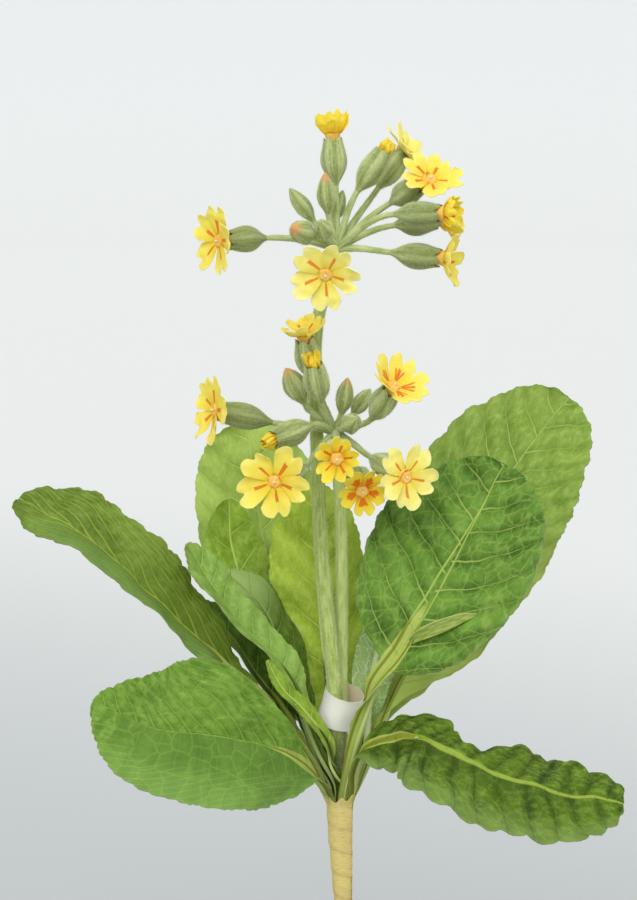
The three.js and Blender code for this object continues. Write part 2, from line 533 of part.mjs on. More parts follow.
add("pot", potGeometry(), "clay");
add("soil", soilGeometry(), "soil");
add("wrapped_stem", stemGeometry(), "tape");
for (const leaf of LEAVES) add(leaf.name, leafGeometry(leaf), "leaf");
for (const name of Object.keys(SCAPES)) add(`flower_stalk_${name}`, scapeGeometry(name), "stalk");
for (const bloom of BLOOMS) add(`corolla_${bloom.name}`, corollaGeometry(bloom), "petal");
for (const cup of OPENING) add(`corolla_${cup.name}`, furledGeometry(cup), "petal");
const band = add("paper_band", bandGeometry(), "paper");
band.position.set(BAND.x, BAND.y, BAND.z);
band.rotation.set(radians(BAND.tilt), radians(BAND.lean), 0);

export default plant;
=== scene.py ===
"""A potted cowslip: two felted flower stalks with umbels of yellow bells over crinkled cloth leaves,
a stem wrapped in paper tape, and a plain clay pot of soil. Shapes are worked out in millimetres."""
import math
import random

import bmesh
import bpy
import numpy as np
from mathutils import Matrix, Vector


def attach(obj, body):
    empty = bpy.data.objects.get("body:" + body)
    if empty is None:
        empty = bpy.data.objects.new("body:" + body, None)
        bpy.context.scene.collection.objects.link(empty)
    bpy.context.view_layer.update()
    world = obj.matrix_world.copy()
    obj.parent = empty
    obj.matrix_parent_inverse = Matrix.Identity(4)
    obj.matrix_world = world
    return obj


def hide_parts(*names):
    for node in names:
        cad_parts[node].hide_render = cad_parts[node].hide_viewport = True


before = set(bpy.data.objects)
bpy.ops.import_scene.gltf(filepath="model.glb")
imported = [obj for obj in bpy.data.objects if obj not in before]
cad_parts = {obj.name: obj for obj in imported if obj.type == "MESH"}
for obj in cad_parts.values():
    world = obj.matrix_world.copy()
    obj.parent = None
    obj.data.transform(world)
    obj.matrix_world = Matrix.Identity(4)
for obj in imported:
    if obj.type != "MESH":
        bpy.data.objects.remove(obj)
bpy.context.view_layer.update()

MM = 0.001

# Where the leaves and stalks stand: the middle of the stem's top, and the radii of the two rings on it
CROWN = np.array([-1.4, 0.0, 145.0])
SEAT_GAP = 0.3
OUTER_RING = 3.85
INNER_RING = 2.2


# Colours


def tint(red, green, blue):
    """A screen colour from 0 to 255 as the linear colour that a shader takes."""
    shares = [c / 255 for c in (red, green, blue)]
    return (*(s / 12.92 if s < 0.04045 else ((s + 0.055) / 1.055) ** 2.4 for s in shares), 1.0)


def tinted(look):
    """A table's row with each screen colour in it turned by tint."""
    return {key: tint(*value) if isinstance(value, tuple) and len(value) == 3 else value
            for key, value in look.items()}


# Socket values of dull cloth and of felt
CLOTH = {"Specular IOR Level": 0.2}
FELT = {"Sheen Weight": 0.35, "Specular IOR Level": 0.15}


# Shader maths


class Wire:
    """A socket of a material's tree, on which Python arithmetic adds Math nodes."""

    def __init__(self, paint, socket):
        self.paint = paint
        self.socket = socket

    def math(self, operation, *others):
        return self.paint.node("Math", {"operation": operation}, (self, *others))

    def __add__(self, other):
        return self.math("ADD", other)

    def __sub__(self, other):
        return self.math("SUBTRACT", other)

    def __rsub__(self, other):
        return self.paint.node("Math", {"operation": "SUBTRACT"}, (other, self))

    def __mul__(self, other):
        return self.math("MULTIPLY", other)

    __rmul__ = __mul__

    def __truediv__(self, other):
        return self.math("DIVIDE", other)

    def __abs__(self):
        return self.math("ABSOLUTE")

    def __gt__(self, other):
        return self.math("GREATER_THAN", other)


class Paint:
    """One material and its node tree."""

    def __init__(self, name):
        self.material = bpy.data.materials.new(name)
        self.material.use_nodes = True
        self.tree = self.material.node_tree
        self.tree.nodes.clear()

    def node(self, kind, settings=None, sockets=(), output=0):
        """Adds a node, sets it, then fills its sockets from a list or by key, and gives one output."""
        made = self.tree.nodes.new("ShaderNode" + kind)
        for key, value in (settings or {}).items():
            setattr(made, key, value)
        pairs = sockets.items() if isinstance(sockets, dict) else enumerate(sockets)
        for key, value in pairs:
            if isinstance(value, Wire):
                self.tree.links.new(value.socket, made.inputs[key])
            else:
                made.inputs[key].default_value = value
        return Wire(self, made.outputs[output]) if made.outputs else None

    def uv(self, name):
        return self.node("UVMap", {"uv_map": name})

    def place(self):
        return self.node("TexCoord", output=3)

    def split(self, vector):
        first = self.node("SeparateXYZ", sockets=[vector])
        return [Wire(self, socket) for socket in first.socket.node.outputs]

    def join(self, x, y, z=0.0):
        return self.node("CombineXYZ", sockets=[x, y, z])

    def stretch(self, vector, scale):
        return self.node("Mapping", sockets={"Vector": vector, "Scale": scale})

    def noise(self, vector, scale, detail=2.0, rough=0.5):
        return self.node("TexNoise", sockets={"Vector": vector, "Scale": scale, "Detail": detail,
                                              "Roughness": rough})

    def cell_edges(self, vector, scale):
        return self.node("TexVoronoi", {"feature": "DISTANCE_TO_EDGE"}, {"Vector": vector, "Scale": scale})

    def ease(self, value, low, high, start=0.0, end=1.0):
        """A smooth step of value from low to high."""
        return self.node("MapRange", {"interpolation_type": "SMOOTHSTEP"},
                         [value, low, high, start, end])

    def mix(self, share, low, high):
        return self.node("Mix", {"data_type": "RGBA"}, {0: share, 6: low, 7: high}, 2)

    def over(self, colour, *coats):
        """Lays coats over a colour one by one, each a share and its own colour."""
        for share, coat in coats:
            colour = self.mix(share, colour, coat)
        return colour

    def streaks(self, scale, detail=3.0, rough=0.5):
        """Noise drawn out along a sheet, by a scale across it and one along it."""
        return self.noise(self.stretch(self.uv("flat"), (*scale, 1)), 1.0, detail, rough)

    def finish(self, colour, roughness, height=None, depth=0.001, strength=1.0, fixed=None):
        sockets = {"Base Color": colour, "Roughness": roughness, **(fixed or {})}
        if height is not None:
            sockets["Normal"] = self.node("Bump", sockets={"Height": height, "Distance": depth,
                                                           "Strength": strength})
        shader = self.node("BsdfPrincipled", sockets=sockets)
        self.node("OutputMaterial", sockets={"Surface": shader})
        return self.material


# Curves and sheets


def smoothstep(value, low, high):
    share = np.clip((value - low) / (high - low), 0, 1)
    return share * share * (3 - 2 * share)


def unit(vectors):
    return vectors / np.linalg.norm(vectors, axis=-1, keepdims=True)


def lerp(low, high, share):
    return low + (high - low) * share


class Spine:
    """A smooth curve through points, measured by its length."""

    def __init__(self, points, samples=40):
        p = np.array(points, float)
        p = np.vstack([2 * p[0] - p[1], p, 2 * p[-1] - p[-2]])
        t = np.linspace(0, 1, samples, endpoint=False)[:, None]
        rows = []
        for a, b, c, d in zip(p, p[1:], p[2:], p[3:]):
            ab, bc, cd = (np.linalg.norm(q - r) ** 0.5 for q, r in ((b, a), (c, b), (d, c)))
            leave = ((b - a) / ab - (c - a) / (ab + bc) + (c - b) / bc) * bc
            arrive = ((c - b) / bc - (d - b) / (bc + cd) + (d - c) / cd) * bc
            rows.append(b + t * leave + t**2 * (3 * (c - b) - 2 * leave - arrive)
                        + t**3 * (2 * (b - c) + leave + arrive))
        self.line = np.vstack([*rows, p[-2][None]])
        steps = np.linalg.norm(np.diff(self.line, axis=0), axis=1)
        self.marks = np.concatenate([[0], np.cumsum(steps)])
        self.length = self.marks[-1]
        self.ahead = unit(np.gradient(self.line, self.marks, axis=0))

    def read(self, table, distance):
        return np.stack([np.interp(distance, self.marks, column) for column in table.T], axis=-1)

    def at(self, distance):
        """Points and directions at distances along it; past an end it runs straight on."""
        inside = np.clip(distance, 0, self.length)
        ahead = unit(self.read(self.ahead, inside))
        return self.read(self.line, inside) + ahead * (distance - inside)[..., None], ahead


def across_and_up(ahead, hint):
    """Sideways and upward unit vectors for directions, with up as near to hint as it can be."""
    up = unit(hint - ahead * np.sum(hint * ahead, axis=-1, keepdims=True))
    return np.cross(up, ahead), up


def round_about(angle, side, up):
    """Outward unit vectors at angles from side towards up."""
    return side * np.cos(angle)[:, None] + up * np.sin(angle)[:, None]


def sheet(columns, rows, place, mark=None, finish=0):
    """A mesh from a flat grid. From shares across and along it, place gives the corners in mm and the
    values of the UV map "flat", and mark gives each corner's "blush"."""
    bm = bmesh.new()
    bmesh.ops.create_grid(bm, x_segments=columns, y_segments=rows, size=0.5)
    mesh = bpy.data.meshes.new("sheet")
    bm.to_mesh(mesh)
    bm.free()
    corners = np.empty(len(mesh.vertices) * 3)
    mesh.vertices.foreach_get("co", corners)
    share = corners.reshape(-1, 3)[:, :2] + 0.5
    points, flat = place(share[:, 0], share[:, 1])
    mesh.vertices.foreach_set("co", (points * MM).ravel())
    loops = np.empty(len(mesh.loops), int)
    mesh.loops.foreach_get("vertex_index", loops)
    for name, values in (("shares", share), ("flat", flat)):
        mesh.uv_layers.new(name=name).data.foreach_set("uv", values[loops].ravel())
    blush = mesh.attributes.new("blush", "FLOAT", "POINT")
    if mark is not None:
        blush.data.foreach_set("value", mark(share[:, 0], share[:, 1]).astype(np.float32))
    mesh.polygons.foreach_set("material_index", np.full(len(mesh.polygons), finish, np.int32))
    return mesh


ONE_SPOT, NO_LENGTH = 1e-7, 1e-8


def merge(bm):
    """Joins corners that lie on one spot, as at a sheet's seam and poles."""
    bmesh.ops.remove_doubles(bm, verts=bm.verts, dist=ONE_SPOT)
    bmesh.ops.dissolve_degenerate(bm, edges=bm.edges, dist=NO_LENGTH)


def thicken(mesh, thickness, under=0):
    """Gives a sheet an under side, of its own finish, the thickness below it."""
    bm = bmesh.new()
    bm.from_mesh(mesh)
    merge(bm)
    bm.normal_update()
    made = bmesh.ops.extrude_face_region(bm, geom=bm.faces[:], use_keep_orig=True)["geom"]
    for part in made:
        if isinstance(part, bmesh.types.BMVert):
            part.co -= part.normal * (thickness * MM)
        elif isinstance(part, bmesh.types.BMFace):
            part.material_index = under
    bmesh.ops.recalc_face_normals(bm, faces=bm.faces)
    bm.to_mesh(mesh)
    bm.free()
    return mesh


def piece(name, meshes, finishes, replaced=(), sharp=50, weld=True):
    """Joins meshes into one object that rides on the plant."""
    bm = bmesh.new()
    for mesh in meshes:
        bm.from_mesh(mesh)
    if weld:
        merge(bm)
    joined = bpy.data.meshes.new(name)
    bm.to_mesh(joined)
    bm.free()
    for mesh in meshes:
        bpy.data.meshes.remove(mesh)
    joined.shade_smooth()
    joined.set_sharp_from_angle(angle=math.radians(sharp))
    for finish in finishes:
        joined.materials.append(finish)
    made = bpy.data.objects.new(name, joined)
    bpy.context.scene.collection.objects.link(made)
    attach(made, "root")
    if replaced:
        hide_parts(*replaced)
    return made


def tube(spine, radius_at, columns, rows, hint=(0.3, 1, 0.2), dent=None, finish=0):
    """A round sheet along a spine; it closes where the radius is 0."""

    def place(around, along):
        angle = 2 * np.pi * around
        distance = along * spine.length
        centre, ahead = spine.at(distance)
        radius = radius_at(along)
        if dent is not None:
            radius = radius + dent(angle, distance)
        outward = round_about(angle, *across_and_up(ahead, np.array(hint)))
        return centre + outward * radius[:, None], np.stack([around * 12, distance], axis=-1)

    return sheet(columns, rows, place, finish=finish)


# How far apart the lifts of an outline lie while they are smoothed, so that they count beside its radii
LIFT_SPREAD = 3


def turned(base, tip, outline, columns, rows, dent=None, mark=None, finish=0, teeth=0.0):
    """A round cup, bud or dome on the axis from base to tip. outline holds share of the length, radius
    and how far the five teeth lift that ring."""
    base, tip = np.array(base, float), np.array(tip, float)
    length = np.linalg.norm(tip - base)
    ahead = (tip - base) / length
    side, up = across_and_up(ahead, np.array([0.2, 0.3, 1.0]))
    shape = Spine([(share * length, radius, lift * LIFT_SPREAD) for share, radius, lift in outline])

    def place(around, along):
        angle = 2 * np.pi * around
        rings, _ = shape.at(along * shape.length)
        height, radius, lift = rings[:, 0], np.maximum(rings[:, 1], 0), rings[:, 2] / LIFT_SPREAD
        if dent is not None:
            radius = radius * (1 + dent(angle, along))
        height = height + teeth * lift * (np.abs(np.cos(2.5 * angle)) - 0.35)
        points = base + ahead * height[:, None] + round_about(angle, side, up) * radius[:, None]
        return points, np.stack([around * 20, height], axis=-1)

    return sheet(columns, rows, place, mark=mark, finish=finish)


def ripples(seed, waves, low, high):
    """A smooth uneven height over a flat sheet, from waves of wavelengths between low and high."""
    draw = random.Random(seed)
    terms = []
    for _ in range(waves):
        turn, size = draw.uniform(0, 2 * math.pi), draw.uniform(low, high)
        terms.append((2 * math.pi * math.cos(turn) / size, 2 * math.pi * math.sin(turn) / size,
                      draw.uniform(0, 2 * math.pi)))

    def height(x, y):
        return sum(np.sin(a * x + b * y + c) for a, b, c in terms) / math.sqrt(waves)

    return height


# Leaves


LEAVES = {
    "left_long": dict(
        ring=OUTER_RING, azimuth=203, width=32, stalk=0.27, wing=2.7, full=0.65, tip=0.34, fold=30,
        wave=1.2, waves=5, face=(0.42, -0.6, 0.68), green="olive", teeth=0.35, lobes=0.7, quilt=0.3,
        slim=0.45, broad=1.2,
        path=[(-9, -5, 158), (-22.5, -12, 180), (-40, -17, 197.5), (-67, -22, 225.5),
              (-93, -19, 247), (-113, -13, 256.5)]),
    "left_low": dict(
        ring=OUTER_RING, azimuth=228, width=52, stalk=0.17, wing=2.4, full=0.78, tip=0.7, fold=8,
        wave=1.1, waves=4, face=(0.1, -0.9, 0.4), green="meadow", teeth=0.6, lobes=0.3, quilt=0.35,
        slim=0.2,
        path=[(-6.6, -10, 154), (-13.5, -20, 164), (-25.5, -33, 173.5), (-45, -41, 179.5),
              (-66, -43, 182.5), (-86, -38, 191)]),
    "left_narrow": dict(
        ring=INNER_RING, azimuth=240, width=16, stalk=0.3, wing=1.8, full=0.6, tip=0.36, fold=28,
        wave=0.8, waves=5, face=(0.5, -0.55, 0.65), green="sea", teeth=0.45, lobes=0.3, quilt=0.25,
        path=[(-8, -5, 165), (-14.5, -8, 183), (-22, -11, 198), (-39, -17, 217),
              (-54.5, -17, 241.5)]),
    "back_left_tall": dict(
        ring=INNER_RING, azimuth=110, width=47, stalk=0.2, wing=2, full=0.6, tip=0.34, fold=8,
        wave=1.2, waves=4, face=(0.1, -0.9, 0.35), green="lime", teeth=0.3, lobes=0.35, quilt=0.7,
        path=[(-6, 7, 156), (-11, 14, 172), (-24, 32, 216), (-31, 42, 244), (-35, 46, 275)]),
    "back_left_small": dict(
        ring=INNER_RING, azimuth=154, width=25, stalk=0.3, wing=1.8, full=0.6, tip=0.5, fold=10,
        wave=0.8, waves=3, face=(0.2, -0.9, 0.35), green="grass", teeth=0.3, lobes=0.2, quilt=0.3,
        path=[(-7.5, 4.5, 156), (-15, 11, 173), (-32, 21, 210), (-40, 27, 232), (-41, 28, 250)]),
    "back_middle": dict(
        ring=INNER_RING, azimuth=64, width=34, stalk=0.22, wing=1.8, full=0.8, tip=0.45, fold=8,
        wave=0.9, waves=3, face=(0, -0.95, 0.3), green="lemon", teeth=0.35, lobes=0.3, quilt=0.4,
        path=[(-3, 8, 156), (-5, 13, 180), (-8, 17, 202), (-10, 21, 236), (-10, 24, 256)]),
    "right_front": dict(
        ring=OUTER_RING, azimuth=285, width=62.5, stalk=0.41, wing=3.9, full=0.55, tip=0.5, fold=7,
        wave=1.3, waves=4, face=(-0.35, -0.85, 0.4), green="bottle", teeth=0.3, lobes=0.35, quilt=1.2,
        path=[(2, -7, 160), (5.5, -11, 175.5), (10, -14, 190), (18.5, -16, 203), (38.5, -12, 236),
              (56, 0, 267)]),
    "right_back": dict(
        ring=OUTER_RING, azimuth=5, width=66, stalk=0.2, wing=2.8, full=0.75, tip=0.48, fold=7,
        wave=1.4, waves=5, face=(-0.45, -0.8, 0.45), green="spring", teeth=0.45, lobes=0.4, quilt=0.9,
        path=[(8, 3, 160), (18, 12, 183), (38, 25, 214.5), (62, 38, 260), (82, 45, 285)]),
    "right_low": dict(
        ring=OUTER_RING, azimuth=325, width=40, stalk=0.2, wing=2.6, full=0.5, tip=0.4, fold=-18,
        wave=0.9, waves=6, face=(0.12, -0.62, 0.78), green="moss", teeth=0.2, lobes=0.9, quilt=0.8,
        dip=0.68,
        path=[(3.5, -8, 159), (8, -16, 169.5), (25, -30, 177), (36.5, -36, 172.5),
              (65.5, -40, 161), (96, -36, 154)]),
    "right_pale": dict(
        ring=INNER_RING, azimuth=12, width=16, stalk=0.38, wing=1.5, full=0.6, tip=0.5, fold=-10,
        wave=0.5, waves=3, face=(-0.1, 0.95, 0.1), green="sage", teeth=0.3, lobes=0.1, quilt=0.2,
        thick=1.7,
        path=[(5, 4, 158), (8, 8.5, 172), (9.5, 10.5, 186), (12, 11.5, 198), (17.5, 12, 216)]),
    "front_small": dict(
        ring=INNER_RING, azimuth=287, width=7.6, stalk=0.3, wing=1.4, full=0.4, tip=0.4, fold=12,
        wave=0.3, waves=4, face=(0.45, -0.6, 0.65), green="grass", teeth=0.25, lobes=0.1, quilt=0.1,
        path=[(-3, -7, 158), (-5.6, -10, 169.5), (-14.5, -15, 183), (-21, -19.5, 190.5),
              (-26.5, -22.5, 201.5)]),
    "left_inner": dict(
        ring=INNER_RING, azimuth=196, width=21, stalk=0.3, wing=1.8, full=0.6, tip=0.5, fold=14,
        wave=0.7, waves=4, face=(0.75, -0.45, 0.5), green="shade_pale_half", teeth=0.3, lobes=0.2, quilt=0.2,
        path=[(-7, 1, 157.5), (-13, 2, 175), (-20, 4, 195), (-30, 7, 216), (-42, 8, 228)]),
    "left_mid": dict(
        ring=OUTER_RING, azimuth=180, width=18, stalk=0.36, wing=2.2, full=0.6, tip=0.5, fold=28,
        wave=0.6, waves=4, face=(0.65, -0.5, 0.6), green="shade", teeth=0.3, lobes=0.2, quilt=0.2,
        path=[(-9.8, 0, 158), (-22.5, 0, 180), (-34, 0, 197), (-49, 1, 218)]),
    "rear_right": dict(
        ring=OUTER_RING, azimuth=45, width=38, stalk=0.3, wing=2.4, full=0.65, tip=0.5, fold=10,
        wave=1.3, waves=4, face=(-0.45, -0.55, 0.7), green="spring", teeth=0.4, lobes=0.5, quilt=0.5,
        path=[(9, 13, 162), (22, 32, 183), (36, 49, 198), (51, 66, 203)]),
    "rear_middle": dict(
        ring=OUTER_RING, azimuth=88, width=28, stalk=0.3, wing=2.2, full=0.65, tip=0.5, fold=12,
        wave=1.3, waves=4, face=(0.05, -0.6, 0.8), green="moss", teeth=0.3, lobes=0.6, quilt=0.5,
        path=[(-1.5, 15, 160), (-5, 34, 173), (-9, 53, 179), (-12, 74, 177)]),
    "rear_left": dict(
        ring=OUTER_RING, azimuth=132, width=26, stalk=0.3, wing=2.2, full=0.65, tip=0.5, fold=12,
        wave=1.3, waves=4, face=(0.3, -0.6, 0.7), green="grass", teeth=0.3, lobes=0.4, quilt=0.4,
        path=[(-10, 12, 161), (-20, 34, 184), (-29, 55, 205), (-36, 73, 214)]),
}
# Greens: spacing in mm of the side veins, how far they run forward for each mm outwards (lean), how
# much they bend towards the tip, the size of the net between them, and the midrib's half width; near
# is the tint of one half, which may have its own lean, then the tint over the base, that of sunk side
# veins, and shadow and margin those of the other half, beside the midrib and at its edge. The tint over
# the base is painted light on spring and painted shade on olive, the sunk veins' tint and shadow are
# painted shade, and on meadow near is painted shade below the folded midrib. The shade greens are dark
# tints painted as shade where the inner leaves lie in shade.
GREENS = {
    "bottle": dict(deep=(56, 92, 20), mid=(102, 142, 48), pale=(134, 170, 80), vein=(166, 188, 88),
                   under=(150, 172, 104), spacing=11, lean=0.5, bend=0.008, net=0.42, cell=6, rib=0.5,
                   line=0.8, twin=2.1, mottle=0.6),
    "spring": dict(deep=(106, 136, 42), mid=(136, 162, 66), pale=(158, 184, 92), vein=(180, 202, 108),
                   under=(150, 176, 96), spacing=11, lean=0.6, bend=0.008, net=0.15, cell=6, rib=0.45,
                   line=0.6, base_shading=(206, 226, 120)),
    # lime and lemon are partly the cloth's own yellow-green and partly painted light shining through these
    # back leaves.
    "lime": dict(deep=(144, 170, 70), mid=(170, 196, 92), pale=(184, 208, 106), vein=(196, 216, 120),
                 under=(165, 186, 112), spacing=13, lean=0.7, bend=0.01, net=0.15, cell=6, rib=0.45,
                 line=0.6),
    "grass": dict(deep=(110, 142, 28), mid=(138, 170, 52), pale=(162, 190, 84), vein=(190, 210, 100),
                  under=(155, 178, 105), spacing=13, lean=0.9, bend=0.006, net=0.3, cell=5, rib=0.8,
                  line=0.65),
    "lemon": dict(deep=(140, 168, 34), mid=(178, 204, 70), pale=(196, 218, 98), vein=(212, 228, 128),
                  under=(160, 184, 105), spacing=14, lean=0.9, bend=0.01, net=0.25, cell=6, rib=0.6,
                  line=0.6),
    "olive": dict(deep=(80, 104, 22), mid=(116, 142, 52), pale=(140, 166, 80), vein=(164, 182, 70),
                  under=(140, 164, 96), spacing=10, lean=3.0, bend=0.0, net=0.1, cell=5, rib=0.5,
                  line=0.5, near=(108, 144, 68), near_edge=(114, 150, 78), base_shading=(78, 100, 2),
                  base_shading_share=0.6),
    "meadow": dict(deep=(80, 116, 30), mid=(108, 146, 48), pale=(130, 164, 72), vein=(154, 188, 78),
                   under=(150, 175, 105), spacing=6.4, lean=1.1, bend=0.0, net=0.3, cell=7, rib=0.3,
                   line=0.4, rib_line=0.3, near=(82, 118, 42), near_edge=(112, 148, 70), near_lean=0.1,
                   near_line=0.25),
    "sea": dict(deep=(112, 144, 54), mid=(138, 172, 78), pale=(156, 186, 102), vein=(162, 194, 96),
                under=(158, 180, 118), spacing=8, lean=0.9, bend=0.0, net=0.4, cell=4, rib=0.4,
                line=0.5),
    "moss": dict(deep=(34, 56, 0), mid=(80, 108, 12), pale=(122, 150, 54), vein=(150, 172, 66),
                 under=(125, 152, 74), spacing=8.5, lean=0.35, bend=0.004, net=0.2, cell=6, rib=1.8,
                 line=0.35, fade=0.5, vein_shade=(58, 84, 12), shadow=(52, 76, 0), margin=(122, 148, 74)),
    "sage": dict(deep=(122, 154, 76), mid=(144, 174, 96), pale=(168, 194, 122), vein=(218, 234, 186),
                 under=(136, 166, 90), spacing=9, lean=0.9, bend=0.0, net=0.8, cell=2.8, rib=1.2,
                 line=0.5),
    "shade": dict(deep=(56, 82, 10), mid=(84, 110, 26), pale=(116, 142, 58), vein=(146, 170, 84),
                  under=(150, 172, 96), spacing=9, lean=0.9, bend=0.0, net=0.15, cell=5, rib=0.9,
                  line=0.4, near=(150, 174, 84), near_edge=(154, 176, 102),
                  near_span=(0.4, 0.75, 0.1, 0.9)),
}
GREENS["shade_pale_half"] = dict(GREENS["shade"], near=(162, 188, 110), near_edge=(148, 174, 96), near_from=-9,
                      near_span=(0.5, 0.8, 0.0, 0.95))
GREENS = {name: tinted(green) for name, green in GREENS.items()}
# A stalk's half width at its foot, its fold in degrees, and its share of a leaf's rows of corners
STALK_FOOT = 1.9
STALK_FOLD = 20
STALK_ROWS = 0.22
# How much closer the rows lie towards the tip
TIP_ROWS = 1.7
# Distances along the margin from tooth to tooth and lobe to lobe, and before the tip without either
TOOTH_PITCH = 2.9
LOBE_PITCH = 8.5
TIP_CALM = 4
# How far one half's side veins are shifted against the other's, as a share of their spacing
VEIN_STAGGER = 0.4
# Where on its length a dip in the upper edge lies, and how long it is
DIP_SHARE, DIP_SPREAD = 0.545, 0.085
CLOTH_THICKNESS = 0.35
GROOVE_DEPTH, GROOVE_HALF = 0.45, 1.3
THREADS_PER_LEAF = 16
THREAD_RADIUS = 0.055
# The part of its length over which one half of a leaf may have a tint of its own
NEAR_SPAN = (0.92, 0.6, 0.0, 0.68)


def leaf_spine(leaf):
    angle = math.radians(leaf["azimuth"])
    out = np.array([math.cos(angle), math.sin(angle), 0.0])
    inner = leaf["ring"] == INNER_RING
    seat = CROWN + out * leaf["ring"] + [0, 0, SEAT_GAP]
    above = CROWN + out * leaf["ring"] * (1.1 if inner else 1.4) + [0, 0, 7 if inner else 4]
    return Spine([seat, above, *leaf["path"]])


def leaf_half(leaf, u):
    """Half width at a share of the length: a winged stalk that runs into a blade with a round tip."""
    t = np.clip((u - leaf["stalk"]) / (1 - leaf["stalk"]), 0, 1)
    rise, fall = leaf["full"], leaf["tip"]
    peak = rise / (rise + fall)
    blade = leaf["width"] / 2 * (t / peak) ** rise * ((1 - t) / (1 - peak)) ** fall
    wing = lerp(STALK_FOOT, leaf["wing"], smoothstep(u, 0.02, leaf["stalk"] * 0.8))
    wing = wing * (1 - smoothstep(u, 0.8, 0.99))
    return (blade**5 + wing**5) ** 0.2


def leaf_frame(leaf, spine, y):
    """Centre, sideways and upward vectors at distances along a leaf's midrib."""
    angle = math.radians(leaf["azimuth"])
    inward = np.array([-math.cos(angle), -math.sin(angle), 0.0])
    centre, ahead = spine.at(y)
    turn = smoothstep(y / spine.length, 0.05, leaf["stalk"] + 0.12)[:, None]
    side, up = across_and_up(ahead, lerp(inward, unit(np.array(leaf["face"])), turn))
    return centre, side, up


def leaf_piece(name, leaf, number):
    """One cloth leaf with its midrib and threads. In place, u is the share of the length, v runs from
    -1 to 1 across, edge is the distance along the margin, and x and y are flat distances."""
    spine, stalk, green = leaf_spine(leaf), leaf["stalk"], GREENS[leaf["green"]]
    shares = np.linspace(0, 1, 600)
    halves = leaf_half(leaf, shares)
    leans = np.gradient(halves, shares * spine.length)
    steps = np.hypot(np.diff(shares * spine.length), np.diff(halves))
    margin = np.concatenate([[0], np.cumsum(steps)])
    crumple = ripples(number, 7, 14, 42)
    unevenness = ripples(number + 50, 5, 9, 30)

    def place(across, along):
        rest = np.clip((along - STALK_ROWS) / (1 - STALK_ROWS), 0, 1)
        u = np.where(along < STALK_ROWS, stalk * along / STALK_ROWS,
                     stalk + (1 - stalk) * (1 - (1 - rest) ** TIP_ROWS))
        v = 1 - 2 * across
        sign = np.sign(v)
        half, lean, edge = (np.interp(u, shares, table) for table in (halves, leans, margin))
        slim = lerp(leaf.get("slim", 1.0), 1, smoothstep(u, stalk, 0.7))
        broad = lerp(leaf.get("broad", 1.0), 1, smoothstep(u, stalk, 0.8))
        dip = 1 - leaf.get("dip", 0.0) * np.exp(-(((u - DIP_SHARE) / DIP_SPREAD) ** 2))
        based = smoothstep(u, 0.6 * stalk, stalk)
        half = half * np.where(v < 0, lerp(1, slim, based), dip * lerp(1, broad, based))
        blade = smoothstep(u, 0.8 * stalk, stalk + 0.15)
        beat = edge + 1.2 * np.sin(edge / 5.3 + 2 * sign + number)
        tooth = leaf["teeth"] * (np.abs(np.sin(np.pi * beat / TOOTH_PITCH)) - 0.6)
        lobe = leaf["lobes"] * (1.9 * np.abs(np.sin(np.pi * beat / LOBE_PITCH + sign)) ** 0.8 - 1.1)
        crinkle = 0.3 * np.sin(2 * np.pi * edge / 6 + sign) * smoothstep(u, 0.1, 0.25)
        calm = smoothstep(margin[-1] - edge, 0, TIP_CALM)
        out = (blade * (tooth + lobe) + (1 - blade) * crinkle) * calm
        out_here = out * np.abs(v) ** 6 / np.sqrt(1 + lean**2)
        x = v * half + sign * out_here
        y = u * spine.length - lean * out_here
        centre, side, up = leaf_frame(leaf, spine, y)
        fold = math.radians(leaf["fold"]) * (1 - 0.7 * smoothstep(u, 0.72, 1))
        fold = lerp(math.radians(STALK_FOLD), fold, blade)
        lean_here = np.where(x > 0, green.get("near_lean", green["lean"]), green["lean"])
        reach = np.abs(x)
        flow = (y - lean_here * reach - green["bend"] * x * x) / green["spacing"]
        flow = flow + VEIN_STAGGER * (x > 0)
        between = 2 * np.abs(flow - np.round(flow))
        lift = reach * np.sin(fold)
        wave = np.sin(2 * np.pi * (leaf["waves"] * u + 0.17 * sign))
        lift += leaf["wave"] * blade * calm * v * v * wave
        curl = np.sin(2 * np.pi * beat / LOBE_PITCH + 1.5 * sign)
        lift += 0.5 * leaf["lobes"] * blade * calm * np.abs(v) ** 3 * curl
        quilt = leaf["quilt"] * np.where(x > 0, green.get("near_line", 1.0), 1.0)
        lift += quilt * blade * between**0.7 * smoothstep(reach, 0.5, 5)
        lift -= GROOVE_DEPTH * np.exp(-((x / GROOVE_HALF) ** 2)) * lerp(1, 0.4, u)
        size = min(1, leaf["width"] / 40)
        lift += size * blade * (0.8 * crumple(x, y) + 0.4 * unevenness(x, y))
        points = centre + side * (x * np.cos(fold))[:, None] + up * lift[:, None]
        return points, np.stack([x, y], axis=-1)

    columns = 40 if leaf["width"] > 28 else 24
    rows = int(min(150, spine.length * 1.15))
    blade = thicken(sheet(columns, rows, place), CLOTH_THICKNESS, under=1)
    alongs = np.linspace(0.01, 0.93, 30)
    centre, flat = place(np.full(30, 0.5), alongs)
    up = leaf_frame(leaf, spine, flat[:, 1])[2]
    radii = lerp(1.0, 0.3, alongs) * min(1, leaf["width"] / 24 + 0.3) * leaf.get("thick", 1.0)
    radii = radii * lerp(0.15, 1, smoothstep(alongs, 0, 0.12))
    rises = (flat[:, 1] - flat[0, 1]) / (flat[-1, 1] - flat[0, 1])
    rib = tube(Spine(centre - up * (0.2 + radii)[:, None], 6),
               lambda t: np.interp(t, rises, radii) * (t < 0.999), 8, 40, finish=2)
    finishes = [leaf_paint(f"{leaf['green']}_{name}", leaf, number),
                leaf_under_paint(f"{leaf['green']}_{name}_under", leaf, number), rib_paint(green),
                tongue_paint()]
    extras = frayed_threads(place, number)
    if name == "right_front":
        extras += [loose_tongue(points, width) for points, width in TONGUES]
    return piece("cloth_leaf_" + name, [blade, rib, *extras], finishes, ["leaf_" + name])


